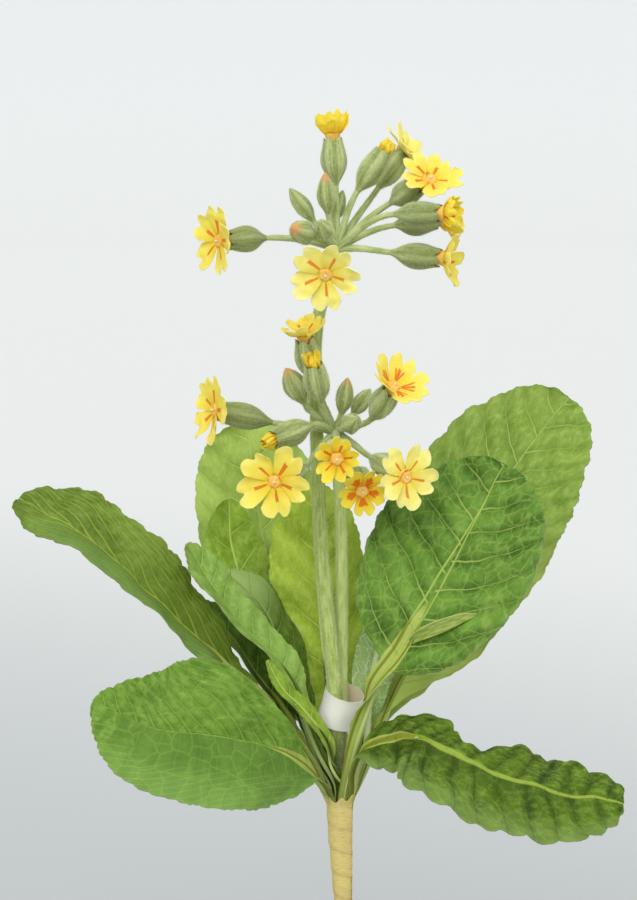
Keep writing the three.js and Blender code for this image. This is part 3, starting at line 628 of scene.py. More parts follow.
# Strips of cloth that came loose where the right front leaf meets its stalk
TONGUES = [
    ([(23, -17, 207), (26, -20.2, 209.6), (29.5, -22.6, 211.8), (35, -25.2, 214.6),
      (41, -26.8, 217.2), (46, -27, 218.6)], 2.3),
    ([(31, -15.5, 219), (39, -19, 223), (52, -20.5, 222)], 0.8),
]


def loose_tongue(points, width):
    spine = Spine(points)

    def place(across, along):
        centre, ahead = spine.at(along * spine.length)
        side, up = across_and_up(ahead, np.array([-0.3, -0.9, 0.3]))
        half = width * np.sin(np.pi * np.clip(along * 0.9 + 0.1, 0, 1)) ** 0.7
        v = 1 - 2 * across
        lift = 0.35 * v * v * half + 0.15 * np.sin(9 * along)
        points = centre + side * (v * half)[:, None] + up * lift[:, None]
        return points, np.stack([v * half, along * spine.length], axis=-1)

    return thicken(sheet(8, 20, place, finish=3), 0.3, under=2)


def frayed_threads(place, number):
    """A few loose threads that stand off a leaf's cut edge."""
    draw = random.Random(number)
    threads = []
    for _ in range(THREADS_PER_LEAF):
        side, along = draw.choice([0.0, 1.0]), draw.uniform(0.3, 0.96)
        spots, _ = place(np.array([side, 0.5, side]), np.array([along, along, along + 0.02]))
        edge, middle, further = spots
        out = unit(edge - middle) + unit(further - edge) * draw.uniform(-1, 1)
        out = unit(out + np.array([draw.uniform(-0.3, 0.3) for _ in range(3)]))
        length = draw.uniform(0.7, 2.6)
        bend = np.array([draw.uniform(-0.3, 0.3) for _ in range(3)]) * length
        line = Spine([edge - out * 0.4, edge + out * length * 0.5, edge + out * length + bend])
        threads.append(tube(line, lambda t: THREAD_RADIUS * (1 - t) * (t > 0.001), 4, 6, finish=2))
    return threads


def vein_net(paint, green, number):
    """Masks for a leaf's side veins, the fine net between them, its midrib and its blade."""
    x, y, _ = paint.split(paint.uv("flat"))
    across, along, _ = paint.split(paint.uv("shares"))
    spot = paint.join(x, y, number * 9.0)
    x_drift = paint.noise(spot, 0.07) - 0.5
    y_drift = paint.noise(paint.join(y, x, number * 9.0 + 4), 0.07) - 0.5
    reach = abs(x)
    near = x > 0
    near_lean = green.get("near_lean", green["lean"])
    lean = near * (near_lean - green["lean"]) + green["lean"]
    flow = y + y_drift * 6 - reach * lean - reach * reach * green["bend"]
    phase = flow / green["spacing"] + near * VEIN_STAGGER
    gap, near_gap = (green["spacing"] / math.hypot(1, slope) for slope in (green["lean"], near_lean))
    off_vein = phase.math("PINGPONG", 0.5) * (near * (near_gap - gap) + gap)
    out = abs(across * 2 - 1)
    width = (1 - out) * 0.4 + 0.16
    veins = paint.ease(off_vein, width, width * 0.3)
    fork_lean = green["lean"] * 2.2 + 0.5
    fork_phase = (y + y_drift * 8 - reach * fork_lean) / green["spacing"] + 0.3
    off_fork = fork_phase.math("PINGPONG", 0.5) * (green["spacing"] / math.hypot(1, fork_lean))
    forks = paint.ease(off_fork, 0.32, 0.08) * paint.ease(out, 0.35, 0.6)
    wander = (paint.noise(spot, 0.4) - 0.5) * 1.6
    shifted = paint.join(x + x_drift * 5 + wander, y + y_drift * 5 - wander, number * 5.0)
    edges = paint.cell_edges(shifted, 1 / green["cell"])
    net = paint.ease(edges, 0.065, 0.015)
    blade = paint.ease(along, STALK_ROWS - 0.03, STALK_ROWS + 0.02)
    taper = green["rib"] * (1.15 - along)
    apart = paint.ease(along, 0.76, 0.25) * green.get("twin", 0.0)
    rib = paint.ease(abs(abs(x) - apart), taper + 0.2, taper * 0.5)
    fade = (1 - out * green.get("fade", 0.3)) * blade
    fade = fade * (1 - near * (1 - green.get("near_line", 1.0)))
    return dict(x=x, spot=spot, out=out, along=along, veins=veins * fade, beside=off_vein,
                forks=forks * blade, net=net * blade, edges=edges, blade=blade, rib=rib)


def leaf_stalk_colour(paint, m, leaf):
    """A leaf's winged stalk, pale with an olive groove; the inner stalks lie in deep shade."""
    inner = leaf["ring"] == INNER_RING
    wing, groove, shade = (tint(*colour) for colour in (
        ((112, 132, 50), (66, 82, 18), (44, 62, 12)) if inner else
        ((172, 188, 92), (128, 134, 40), (112, 120, 52))))
    streak = paint.noise(paint.stretch(m["spot"], (1.6, 0.12, 1)), 1.0, 3.0)
    height = paint.split(paint.place())[2]
    return paint.over(wing, (m["rib"], groove), (paint.ease(streak, 0.45, 0.7) * 0.35, groove),
                      (paint.ease(height, 0.17, 0.149) * 0.6, shade))


def leaf_paint(name, leaf, number):
    green = GREENS[leaf["green"]]
    paint = Paint(name)
    m = vein_net(paint, green, number)
    # Painted light and shade: the broad patches are partly the cloth's uneven tone and partly the light and
    # shade of the blade's undulations; the mask from the side veins paints shade beside them and light on
    # the puffed panels between.
    patch = paint.ease(paint.noise(m["spot"], 0.055, 3.0, 0.6), 0.38, 0.6)
    mottle = paint.noise(paint.stretch(m["spot"], (0.5, 0.24, 1)), 1.0, 3.0, 0.65)
    grain = paint.noise(m["spot"], 0.85, 3.0, 0.75)
    puff_shade = paint.ease(m["beside"], 0.3, green["spacing"] * 0.35)
    mottled = paint.ease(mottle, 0.4, 0.7) * (puff_shade * 0.4 + 0.35) * green.get("mottle", 1.0)
    colour = paint.mix(patch * 0.55 + puff_shade * 0.45, green["deep"], green["mid"])
    colour = paint.over(colour, (mottled, green["pale"]),
                        (paint.ease(grain, 0.48, 0.3) * 0.3, green["deep"]),
                        (paint.ease(grain, 0.55, 0.75) * 0.25, green["pale"]))
    # Painted light and shade over the base of the blade: on spring a bright tint that lights the base where
    # other leaves shade it, on olive a dark tint of painted shade.
    if "base_shading" in green:
        low = paint.ease(m["along"], 0.62, 0.4) * green.get("base_shading_share", 1.0)
        colour = paint.mix(low, colour, green["base_shading"])
    # On meadow this half's tint is painted shade below the folded midrib, darkest at the midrib and lighter
    # towards the edge.
    if "near" in green:
        start = green.get("near_from", 0.0)
        reach = paint.ease(m["x"], start, start + 0.8)
        reach = reach * paint.ease(m["along"], *green.get("near_span", NEAR_SPAN))
        near = paint.mix(paint.ease(m["out"], 0.3, 0.9), green["near"], green["near_edge"])
        colour = paint.mix(reach, colour, near)
    if "shadow" in green:
        half = paint.ease(m["x"], 0.5, -1.0)
        beside = paint.ease(m["x"], -11.0, -2.0) * half * paint.ease(m["along"], 0.9, 0.55)
        rim = paint.ease(m["out"], 0.45, 0.95) * half
        colour = paint.over(colour, (beside * 0.6, green["shadow"]), (rim * 0.55, green["margin"]))
    vein = green["vein"]
    worn = paint.ease(paint.noise(m["spot"], 0.075, 2.0), 0.3, 0.55) * 0.6 + 0.4
    # Painted shade: on moss the sunk side veins are darkened as shade in their valleys.
    colour = paint.over(colour, (m["net"] * (0.5 * green["net"]), vein), (m["forks"] * 0.18, vein),
                        (m["veins"] * worn * green["line"], green.get("vein_shade", vein)),
                        (m["rib"] * green.get("rib_line", 0.85), vein))
    stalk = leaf_stalk_colour(paint, m, leaf)
    reach = paint.ease(m["along"], STALK_ROWS, STALK_ROWS + 0.2, 1.0, 0.0)
    strip = paint.ease(abs(m["x"]) - reach * leaf["wing"], 0.4, -0.2) * paint.ease(reach, 0.03, 0.35)
    colour = paint.mix(m["blade"], stalk, paint.mix(strip, colour, stalk))
    colour = paint.mix(paint.ease(m["out"], 0.955, 0.995) * 0.25, colour, tint(140, 148, 104))
    cloth = paint.noise(m["spot"], 2.6, 2.0, 0.7)
    height = m["edges"] * (0.9 * green["net"] + 0.3) - m["veins"] * 0.5 - m["rib"] * 0.4 + cloth * 0.25
    return paint.finish(colour, cloth * 0.2 + 0.58, height, 0.0007, 0.8,
                        CLOTH)


def leaf_under_paint(name, leaf, number):
    green = GREENS[leaf["green"]]
    paint = Paint(name)
    m = vein_net(paint, green, number)
    patch = paint.ease(paint.noise(m["spot"], 0.07, 3.0, 0.6), 0.3, 0.7)
    colour = paint.over(paint.mix(patch, green["under"], green["pale"]),
                        (m["net"] * (0.8 * green["net"]), green["vein"]), (m["veins"] * 0.5, green["vein"]))
    colour = paint.mix(m["blade"], leaf_stalk_colour(paint, m, leaf), colour)
    cloth = paint.noise(m["spot"], 2.6, 2.0, 0.7)
    height = m["veins"] * 0.5 + m["net"] * 0.3 + cloth * 0.3
    return paint.finish(colour, cloth * 0.15 + 0.7, height, 0.0005, 0.8,
                        CLOTH)


def tongue_paint():
    paint = Paint("loose_tongue")
    streak = paint.streaks((1.2, 0.2))
    colour = paint.mix(paint.ease(streak, 0.3, 0.7), tint(112, 132, 42), tint(158, 174, 84))
    across = paint.split(paint.uv("shares"))[0]
    colour = paint.mix(paint.ease(across, 0.12, 0.02) * 0.8, colour, tint(190, 204, 126))
    return paint.finish(colour, streak * 0.1 + 0.6, streak, 0.0003, 0.5)


def rib_paint(green):
    paint = Paint("rib")
    streak = paint.streaks((1.5, 0.15))
    colour = paint.mix(streak, green["vein"], tint(196, 208, 140))
    return paint.finish(colour, streak * 0.1 + 0.5, streak, 0.0003, 0.5)


# Flower stalks, calyxes and buds


# The two stalks' felt differs only as painted light and shade: the short stalk's felt is painted lighter
# than the tall one's.
SCAPES = {
    "tall": dict(path=[(-2.1, -0.3, 145.3), (-2.6, -2, 170), (-3.6, -2.5, 192), (-6.6, -1.5, 221),
                       (-8.4, 0.5, 245), (-9.6, 4.6, 282), (-9.4, 4, 315), (-2.5, 0, 342)],
                 foot=1.3, body=2.7, top=2.1, felt=((150, 169, 80), (188, 204, 122))),
    "short": dict(path=[(-0.6, 0.4, 145.3), (-0.9, 2.4, 170), (-0.9, 3.6, 192), (-0.6, 3.2, 221),
                        (-1.2, 2, 250), (-3.2, 0, 278)],
                  foot=1.2, body=2.35, top=2.0, felt=((182, 200, 110), (212, 226, 146))),
}
SCAPE_FOOT_SHARE = 0.17
# Blooms: base and mouth of the calyx, the corolla's radius, how far in degrees its petals rise, how far
# it turns on its axis, and where it looks and how far it stands out where that isn't the calyx's way
BLOOMS = {
    "upper_left": dict(on="tall", base=(-27, -6, 346.5), mouth=(-39.5, -10.5, 346), radius=12.3,
                       rise=14, facing=(-0.8, -0.6, 0.02), reach=4.2, kind="lemon"),
    "upper_front": dict(on="tall", base=(-5.4, -14, 340.5), mouth=(-6.4, -29, 336.5), radius=12.5,
                        rise=6, kind="pale"),
    "upper_top": dict(on="tall", base=(-2.9, 3, 364), mouth=(-3.9, 4, 379.5), radius=10, rise=60,
                      curl=0.1, kind="folded"),
    "upper_back": dict(on="tall", base=(12, 14, 362.5), mouth=(20, 20.5, 373.5), radius=12, rise=14,
                       facing=(0.78, -0.22, 0.59), kind="lemon_painted_light"),
    "upper_high": dict(on="tall", base=(16, 3, 358), mouth=(26, -3, 364.5), radius=11.3, rise=10,
                       facing=(0.1, -0.68, 0.72), reach=5, kind="lemon"),
    "upper_right": dict(on="tall", base=(17, -10, 355), mouth=(32, -15, 355.5), radius=9, rise=45,
                        curl=0.15, kind="golden"),
    "upper_right_rear": dict(on="tall", base=(17.5, 7, 350), mouth=(32, 12, 351.5), radius=9.5,
                             rise=45, kind="folded"),
    "upper_right_low": dict(on="tall", base=(16, -6, 341.5), mouth=(32.2, -10, 340), radius=11,
                            rise=30, kind="lemon"),
    "lower_left": dict(on="short", base=(-25, -4, 282), mouth=(-43.4, -8.6, 286.6), radius=12.5,
                       rise=12, facing=(-0.9, -0.42, 0.12), reach=1.95, kind="lemon"),
    "lower_front_left": dict(on="short", base=(-13.5, -12, 268), mouth=(-22, -26, 265.5),
                             radius=13.4, rise=6, facing=(-0.2, -0.97, -0.05), reach=3.8, turn=-8,
                             kind="lemon"),
    "lower_top": dict(on="short", base=(-10.4, -5, 296.5), mouth=(-13.6, -10, 311.5), radius=9.8,
                      rise=28, curl=0.12, kind="lemon"),
    "lower_right_high": dict(on="short", base=(9.5, -7, 283.5), mouth=(16, -15, 294.5), radius=12.6,
                             rise=26, kind="pronged"),
    "lower_middle": dict(on="short", base=(-2.4, -14, 275.5), mouth=(-2.6, -29, 273.5), radius=8.8,
                         rise=22, turn=18, kind="golden"),
    "lower_front_right": dict(on="short", base=(4, -9, 266.5), mouth=(5.7, -18, 261.5), radius=9,
                              rise=14, facing=(0.16, -0.98, -0.18), kind="flamed"),
    "lower_right": dict(on="short", base=(9, -8, 270.5), mouth=(18.7, -19, 266.5), radius=11.8,
                        rise=8, facing=(0.35, -0.92, 0.1), reach=4, kind="pale"),
}
OPENING = {
    "upper_opening": dict(on="tall", base=(4.5, 2.5, 362), mouth=(13.5, 4, 375.5)),
    "lower_left_opening": dict(on="short", base=(-11, -9, 282), mouth=(-24.5, -18, 278)),
    "lower_top_opening": dict(on="short", base=(-8, -9, 289.5), mouth=(-10.5, -15, 303.5)),
}
# Closed buds: base, tip, thickness, and how much of the tip is flushed with orange
BUDS = [
    ("tall", (-5.6, -3, 354.5), (-6.7, -6, 369), 1.05, 1.0),
    ("tall", (-10.5, -1, 351.7), (-19, -3, 363.5), 0.95, 0.0),
    ("tall", (-3.6, 6, 351), (-0.3, 11, 362), 0.8, 0.0),
    ("tall", (-11, -8, 347), (-18, -19, 351), 1.35, 1.0),
    ("tall", (-6, -9, 347), (-8.5, -18, 353), 1.05, 0.0),
    ("short", (-14, -4, 289), (-20.3, -7, 301.5), 1.35, 0.8),
    ("short", (-8, 11, 283), (-13.5, 21, 291), 1.3, 0.0),
    ("short", (-1, -3, 284.6), (1.3, -5, 298), 1.0, 0.7),
    ("short", (3, 5, 283.5), (9.4, 8, 292.5), 0.95, 0.0),
    ("short", (0.6, -7, 280.5), (4.4, -16, 285), 1.15, 0.0),
]
REACH = 2.9
PEDICEL_R = 0.95
PEDICEL_FELT = ((150, 167, 92), (198, 208, 148))
CALYX_OUTLINE = [(0, 0.95, 0), (0.07, 1.35, 0), (0.16, 2.2, 0), (0.28, 3.3, 0), (0.42, 4.1, 0),
                 (0.58, 4.4, 0), (0.73, 4.2, 0), (0.86, 3.75, 0.1), (0.95, 3.4, 0.6), (1, 3.2, 1),
                 (0.985, 2.9, 1), (0.92, 2.6, 0.3), (0.8, 2.4, 0), (0.76, 1.2, 0), (0.75, 0, 0)]
BUD_OUTLINE = [(0, 0.8, 0), (0.1, 1.4, 0), (0.25, 2.45, 0), (0.45, 3, 0), (0.62, 2.8, 0),
               (0.78, 2.1, 0), (0.9, 1.15, 0), (0.97, 0.5, 0), (1, 0, 0)]


def pleats(angle, along):
    rib = np.cos(5 * angle) + 0.35 * np.cos(10 * angle)
    return 0.085 * rib * np.sin(np.pi * np.clip(along * 1.5, 0, 1)) + 0.012 * np.sin(
        11 * angle + 9 * along)


def felt_lumps(seed):
    lumps = ripples(seed, 6, 1.6, 5)
    return lambda angle, distance: 0.05 * lumps(angle * 2, distance)


def pedicel(junction, base, end):
    """A flower's own stalk, from the umbel's junction into the foot of its calyx or bud."""
    junction, base, end = (np.array(p, float) for p in (junction, base, end))
    along = unit(end - base)
    reach = np.linalg.norm(base - junction)
    start = unit(unit(base - junction) + [0, 0, 0.25])
    sunk = base + along * 1.2
    a, b = junction + start * reach * 0.35, sunk - along * reach * 0.35
    t = np.linspace(0, 1, 7)[:, None]
    points = (1 - t) ** 3 * junction + 3 * (1 - t) ** 2 * t * a + 3 * (1 - t) * t * t * b + t**3 * sunk
    dent = felt_lumps(int(abs(base[0]) * 7))
    return tube(Spine(points), lambda t: lerp(1.35, PEDICEL_R, t), 12, 16, dent=dent, finish=2)


def flower_stalk(name):
    scape = SCAPES[name]
    spine = Spine(scape["path"])
    junction = scape["path"][-1]

    def radius_at(t):
        grow = smoothstep(t, 0, SCAPE_FOOT_SHARE)
        low = lerp(scape["foot"], scape["body"], grow)
        radius = lerp(low, scape["top"], np.clip(t - 0.2, 0, 1) / 0.8)
        rounded_top = np.sqrt(np.clip((1.004 - t) * 60, 0, 1))
        return radius * rounded_top * np.sqrt(np.clip(t * 300 + 0.05, 0, 1))

    sheets = [tube(spine, radius_at, 20, 130, dent=felt_lumps(3 + len(name)))]
    for cup in [c for c in (*BLOOMS.values(), *OPENING.values()) if c["on"] == name]:
        sheets.append(pedicel(junction, cup["base"], cup["mouth"]))
        sheets.append(turned(cup["base"], cup["mouth"], CALYX_OUTLINE, 40, 30, pleats, finish=1,
                             teeth=1.9 if "radius" in cup else 1.0))
    for on, base, tip, thick, flush in BUDS:
        if on == name:
            outline = [(share, radius * thick, lift) for share, radius, lift in BUD_OUTLINE]
            sheets.append(pedicel(junction, base, tip))
            sheets.append(turned(base, tip, outline, 30, 22, pleats, finish=1,
                                 mark=lambda _, along, f=flush: f * smoothstep(along, 0.7, 0.92)))
    finishes = [stalk_paint(scape["felt"]), calyx_paint(), stalk_paint(PEDICEL_FELT)]
    return piece(f"felted_stalk_{name}", sheets, finishes, [f"flower_stalk_{name}"])


def felt_colour(paint, deep, pale, flecks):
    """Grey green felt with long streaks and white flecks."""
    streak = paint.streaks((1.3, 0.16))
    mottle = paint.noise(paint.place(), 900.0, 4.0, 0.7)
    colour = paint.mix(paint.ease(streak, 0.3, 0.7), tint(*deep), tint(*pale))
    return paint.mix(paint.ease(mottle, 0.5, 0.72) * flecks, colour, tint(212, 219, 176)), mottle, streak


def stalk_paint(felt):
    paint = Paint("stalk_felt")
    colour, mottle, streak = felt_colour(paint, *felt, 0.45)
    height = paint.split(paint.place())[2]
    # Painted shade: the stalk is darker low down, where the leaves shade it.
    colour = paint.mix(paint.ease(height, 0.186, 0.16) * 0.75, colour, tint(60, 78, 26))
    return paint.finish(colour, mottle * 0.1 + 0.85, mottle + streak * 0.5, 0.0004, 0.7,
                        FELT)


def calyx_paint():
    paint = Paint("calyx_felt")
    colour, mottle, streak = felt_colour(paint, (140, 154, 80), (182, 193, 130), 0.6)
    around = paint.split(paint.uv("shares"))[0]
    pleat = (around * (10 * math.pi)).math("COSINE")
    sideways = paint.split(paint.place())[0]
    blush = paint.node("Attribute", {"attribute_name": "blush"}, output=2)
    # Painted shade in the pleats' folds, paler along their ridges, painted shade on the calyxes that stand
    # far out to the sides, and the orange blush of the bud tips.
    colour = paint.over(colour, (paint.ease(pleat, 0.1, -0.9) * 0.42, tint(102, 120, 56)),
                        (paint.ease(pleat, 0.5, 0.98) * 0.36, tint(206, 215, 162)),
                        (paint.ease(sideways * sideways, 0.00025, 0.0006) * 0.5, tint(112, 124, 68)),
                        (blush * 0.85, tint(222, 150, 92)))
    return paint.finish(colour, mottle * 0.1 + 0.85, mottle + streak * 0.3, 0.0004, 0.7,
                        FELT)


HAIRS_PER_STALK = 28000
HAIR_LENGTHS = (0.35, 0.9)
HAIR_RADII = (0.03, 0.05)


def hairs(name, source, count, seed):
    """Short felt hairs that stand on a piece, each a thin closed spike."""
    draw = np.random.default_rng(seed)
    mesh = source.data
    mesh.calc_loop_triangles()
    corners = np.empty(len(mesh.loop_triangles) * 3, int)
    mesh.loop_triangles.foreach_get("vertices", corners)
    places = np.empty(len(mesh.vertices) * 3)
    mesh.vertices.foreach_get("co", places)
    a, b, c = places.reshape(-1, 3)[corners.reshape(-1, 3)].transpose(1, 0, 2)
    faces = np.cross(b - a, c - a)
    areas = np.linalg.norm(faces, axis=1)
    pick = draw.choice(len(areas), count, p=areas / areas.sum())
    r, s = np.sqrt(draw.random(count))[:, None], draw.random(count)[:, None]
    foot = a[pick] * (1 - r) + b[pick] * r * (1 - s) + c[pick] * r * s
    lean = unit(unit(faces[pick]) + draw.normal(0, 0.35, (count, 3)))
    side = unit(np.cross(lean, draw.normal(0, 1, (count, 3))))
    other = np.cross(lean, side)
    length = draw.uniform(*HAIR_LENGTHS, count)[:, None] * MM
    width = draw.uniform(*HAIR_RADII, count)[:, None] * MM
    bm = bmesh.new()
    bmesh.ops.create_cone(bm, cap_ends=True, segments=3, radius1=1, radius2=0, depth=1)
    spike = bpy.data.meshes.new("spike")
    bm.to_mesh(spike)
    shape = np.array([v.co for v in spike.vertices]) + [0, 0, 0.45]
    bm.clear()
    for i in range(count):
        at = foot[i] + (shape[:, :1] * side[i] + shape[:, 1:2] * other[i]) * width[i]
        spike.vertices.foreach_set("co", (at + shape[:, 2:] * lean[i] * length[i]).ravel())
        bm.from_mesh(spike)
    bm.to_mesh(spike)
    bm.free()
    return piece(name, [spike], [hair_paint()], weld=False)


def hair_paint():
    paint = Paint("felt_hair")
    shade = paint.noise(paint.place(), 300.0)
    colour = paint.mix(shade, tint(196, 206, 134), tint(226, 232, 180))
    return paint.finish(colour, shade * 0.1 + 0.8, fixed={"Sheen Weight": 0.3})


# Corollas


THROAT = 2.6
PETAL_ARC = 2 * math.pi / 5
# Petal tints: near the throat, the field, the margin and the stripe, with the stripe's width and length
PETALS = {
    "lemon": dict(inner=(246, 204, 60), field=(252, 220, 88), rim=(254, 230, 118), mark=(226, 108, 26),
                  wide=0.14, long=0.52),
    "pale": dict(inner=(248, 216, 84), field=(254, 231, 120), rim=(255, 240, 148), mark=(232, 122, 36),
                 wide=0.13, long=0.56),
    # Painted light: the lemon look brightened for the bloom at the upper back, for light shining through
    # its petals.
    "lemon_painted_light": dict(inner=(254, 222, 80), field=(255, 238, 120), rim=(255, 244, 150), mark=(236, 140, 50),
                  wide=0.1, long=0.4),
    "golden": dict(inner=(232, 176, 30), field=(252, 210, 58), rim=(254, 222, 80), mark=(224, 96, 4),
                   wide=0.15, long=0.64),
    "pronged": dict(inner=(246, 206, 60), field=(252, 220, 88), rim=(254, 230, 116), mark=(218, 96, 34),
                    wide=0.12, long=0.56, prongs=True),
    "flamed": dict(inner=(238, 166, 34), field=(254, 212, 58), rim=(254, 222, 80), mark=(232, 104, 4),
                   wide=0.22, long=0.62, prongs=True),
    "folded": dict(inner=(242, 184, 44), field=(250, 212, 58), rim=(252, 222, 78), mark=(240, 176, 46),
                   wide=0.1, long=0.4),
}
PETALS = {name: tinted(look) for name, look in PETALS.items()}
PETAL_THICKNESS = 0.25
# Where a petal starts, as a radius, and the way that a bloom's first petal and its tube's seam look
PETAL_START = 1.4
BLOOM_HINT = np.array([0.2, 0.3, 1.0])


def petal(centre, frame_axes, bloom, number, seed):
    """One notched petal, as a sheet that looks along the bloom's axis."""
    out, side, up = frame_axes
    draw = random.Random(seed)
    middle = PETAL_ARC * number + math.radians(bloom.get("turn", 0) + draw.uniform(-6, 6))
    radial = side * math.cos(middle) + up * math.sin(middle)
    across = -side * math.sin(middle) + up * math.cos(middle)
    radius = bloom["radius"] * draw.uniform(0.92, 1.05)
    rise = math.radians(bloom["rise"] + draw.uniform(-9, 9))
    twist, cup = draw.uniform(-0.05, 0.1), draw.uniform(0.1, 0.5)
    notch, curl = draw.uniform(0.14, 0.28), bloom.get("curl", 0.0) * draw.uniform(0.6, 1.3)
    shift, unequal = draw.uniform(-0.16, 0.16), draw.uniform(-0.1, 0.1)
    full = draw.uniform(0.46, 0.58)
    crumple = ripples(seed, 5, 3.5, 9)
    rough = 0.5 if bloom["rise"] > 40 else 0.25

    def place(x, along):
        q = 1 - 2 * x
        tip = 1 - notch * np.exp(-(((q - shift) / 0.2) ** 2)) - 0.36 * np.abs(q) ** 3.2 + unequal * q
        r = PETAL_START + (radius - PETAL_START) * along * (1 - smoothstep(along, 0.3, 1) * (1 - tip))
        reach = full * radius * np.tanh(0.84 * r / (full * radius))
        reach = reach * (1 - 0.06 * smoothstep(along, 0.85, 1))
        t = q * reach
        grown = np.maximum(0, r - THROAT)
        lift = grown * math.sin(rise) - 0.9 * smoothstep(-r, -THROAT, -PETAL_START)
        lift += cup * (t * t) / radius * smoothstep(along, 0.25, 1) * 2
        lift -= 0.35 * np.exp(-((t / 0.7) ** 2)) * along
        lift += (0.11 + twist) * t + rough * crumple(t, r) * smoothstep(along, 0.2, 0.7)
        lift += 0.18 * np.sin(9 * q + 4 * number) * smoothstep(along, 0.8, 1)
        shown = np.minimum(r, THROAT) + grown * math.cos(rise)
        shown = shown - curl * radius * smoothstep(along, 0.4, 1) ** 2
        points = centre + radial * shown[:, None] + across * t[:, None] + out * lift[:, None]
        return points, np.stack([seed + 0.5 + q * 0.499, along], axis=-1)

    return thicken(sheet(16, 20, place), PETAL_THICKNESS)


def corolla(name, bloom, seed):
    base, mouth = np.array(bloom["base"], float), np.array(bloom["mouth"], float)
    along = unit(mouth - base)
    out = unit(np.array(bloom.get("facing", along), float))
    side, up = across_and_up(out, BLOOM_HINT)
    centre = mouth + along * bloom.get("reach", REACH)
    sheets = [petal(centre, (out, side, up), bloom, k, seed * 5 + k) for k in range(5)]
    foot = mouth - along * 4.2
    spine = Spine([foot, mouth, centre - out * 0.4])
    sheets.append(tube(spine, lambda t: lerp(1.6, THROAT + 0.25, t**1.5) * (t > 0.001), 24, 14,
                       hint=BLOOM_HINT, finish=1))
    dome = [(0, 2.5, 0), (0.4, 2.45, 0), (0.8, 2.1, 0), (1, 1.5, 0), (0.92, 0.8, 0), (0.8, 0, 0)]
    sheets.append(turned(centre - out * 1.2, centre + out * 0.35, dome, 20, 12,
                         lambda angle, _: 0.1 * np.cos(5 * angle), finish=2))
    pin = [(0, 0.4, 0), (0.6, 0.42, 0), (0.85, 0.36, 0), (1, 0, 0)]
    sheets.append(turned(centre + out * 0.2, centre + out * 1.25, pin, 10, 6, finish=3))
    kind = bloom["kind"]
    finishes = [petal_paint("petal_" + kind, PETALS[kind]), funnel_paint(), throat_paint(), pin_paint()]
    return piece("yellow_bell_" + name, sheets, finishes, ["corolla_" + name], sharp=60)


def petal_paint(name, look):
    """Yellow cloth with one orange stripe, or a stripe of three prongs, down the middle of a petal."""
    paint = Paint(name)
    x, along, _ = paint.split(paint.uv("flat"))
    number = x.math("FLOOR")
    q = (x - number) * 2 - 1
    slant = paint.noise(paint.join(number * 3.7, 0.5), 1.0) - 0.5
    boldness = paint.noise(paint.join(0.5, number * 2.9), 1.0) - 0.5
    spot = paint.join(q * 3, along * 6, number * 7.0)
    fray = paint.noise(paint.join(q * 9, along * 5, number * 3.0), 1.3, 3.0, 0.6)
    grain = paint.noise(paint.join(q * 16, along * 3, number * 5.0), 1.2, 3.0, 0.6)
    cloud = paint.noise(spot, 0.7, 2.0)
    clouded = along + (cloud - 0.5) * 0.3
    colour = paint.mix(paint.ease(clouded, 0.12, 0.5), look["inner"], look["field"])
    colour = paint.over(colour, (paint.ease(clouded + abs(q) * 0.15, 0.66, 1.05), look["rim"]),
                        (paint.ease(grain, 0.5, 0.75) * 0.22, tint(238, 186, 66)))
    fray = fray - 0.5
    narrow = (boldness * 1.6 + 1.15 - along * 0.4) * look["wide"] + fray * 0.06
    length = paint.ease(along + slant * 0.35 + fray * 0.2, look["long"] + 0.03, look["long"] - 0.04)
    stripe = paint.ease(abs(q + slant * along * 1.3 + fray * 0.1), narrow + 0.02, narrow - 0.01)
    mark = stripe * length
    if look.get("prongs"):
        aside = abs(abs(q + slant * 0.3) - 0.1 - along * 0.55)
        width = look["wide"] * 0.75
        prong = paint.ease(aside, width + 0.02, width - 0.02)
        prong = prong * paint.ease(along + fray * 0.3 + boldness * 0.3, 0.54, 0.46)
        mark = mark.math("MAXIMUM", prong)
    foot = paint.ease(along, 0.08, 0.14)
    colour = paint.mix(mark * foot * 0.92, colour, look["mark"])
    height = grain * 0.6 + cloud * 0.6
    return paint.finish(colour, grain * 0.15 + 0.6, height, 0.0004, 0.6,
                        {**CLOTH, "Subsurface Weight": 0.5, "Subsurface Radius": (1.0, 0.9, 0.4),
                         "Subsurface Scale": 0.0015})


def funnel_paint():
    paint = Paint("funnel")
    along = paint.split(paint.uv("shares"))[1]
    shade = paint.noise(paint.place(), 500.0, 3.0)
    colour = paint.mix(along, tint(232, 172, 74), tint(240, 200, 84))
    colour = paint.mix(paint.ease(shade, 0.45, 0.7) * 0.5, colour, tint(226, 142, 62))
    return paint.finish(colour, shade * 0.2 + 0.6, shade, 0.0003, 0.5)


def throat_paint():
    paint = Paint("throat")
    along = paint.split(paint.uv("shares"))[1]
    shade = paint.noise(paint.place(), 900.0, 3.0)
    colour = paint.mix(along, tint(234, 182, 62), tint(246, 204, 120))
    colour = paint.mix(paint.ease(shade, 0.48, 0.68) * 0.5, colour, tint(228, 144, 52))
    return paint.finish(colour, shade * 0.1 + 0.85, shade, 0.0004, 0.7,
                        {"Specular IOR Level": 0.15})


def pin_paint():
    paint = Paint("pin")
    shade = paint.noise(paint.place(), 1500.0)
    colour = paint.mix(shade, tint(236, 214, 150), tint(248, 234, 186))
    return paint.finish(colour, shade * 0.1 + 0.8, fixed=CLOTH)


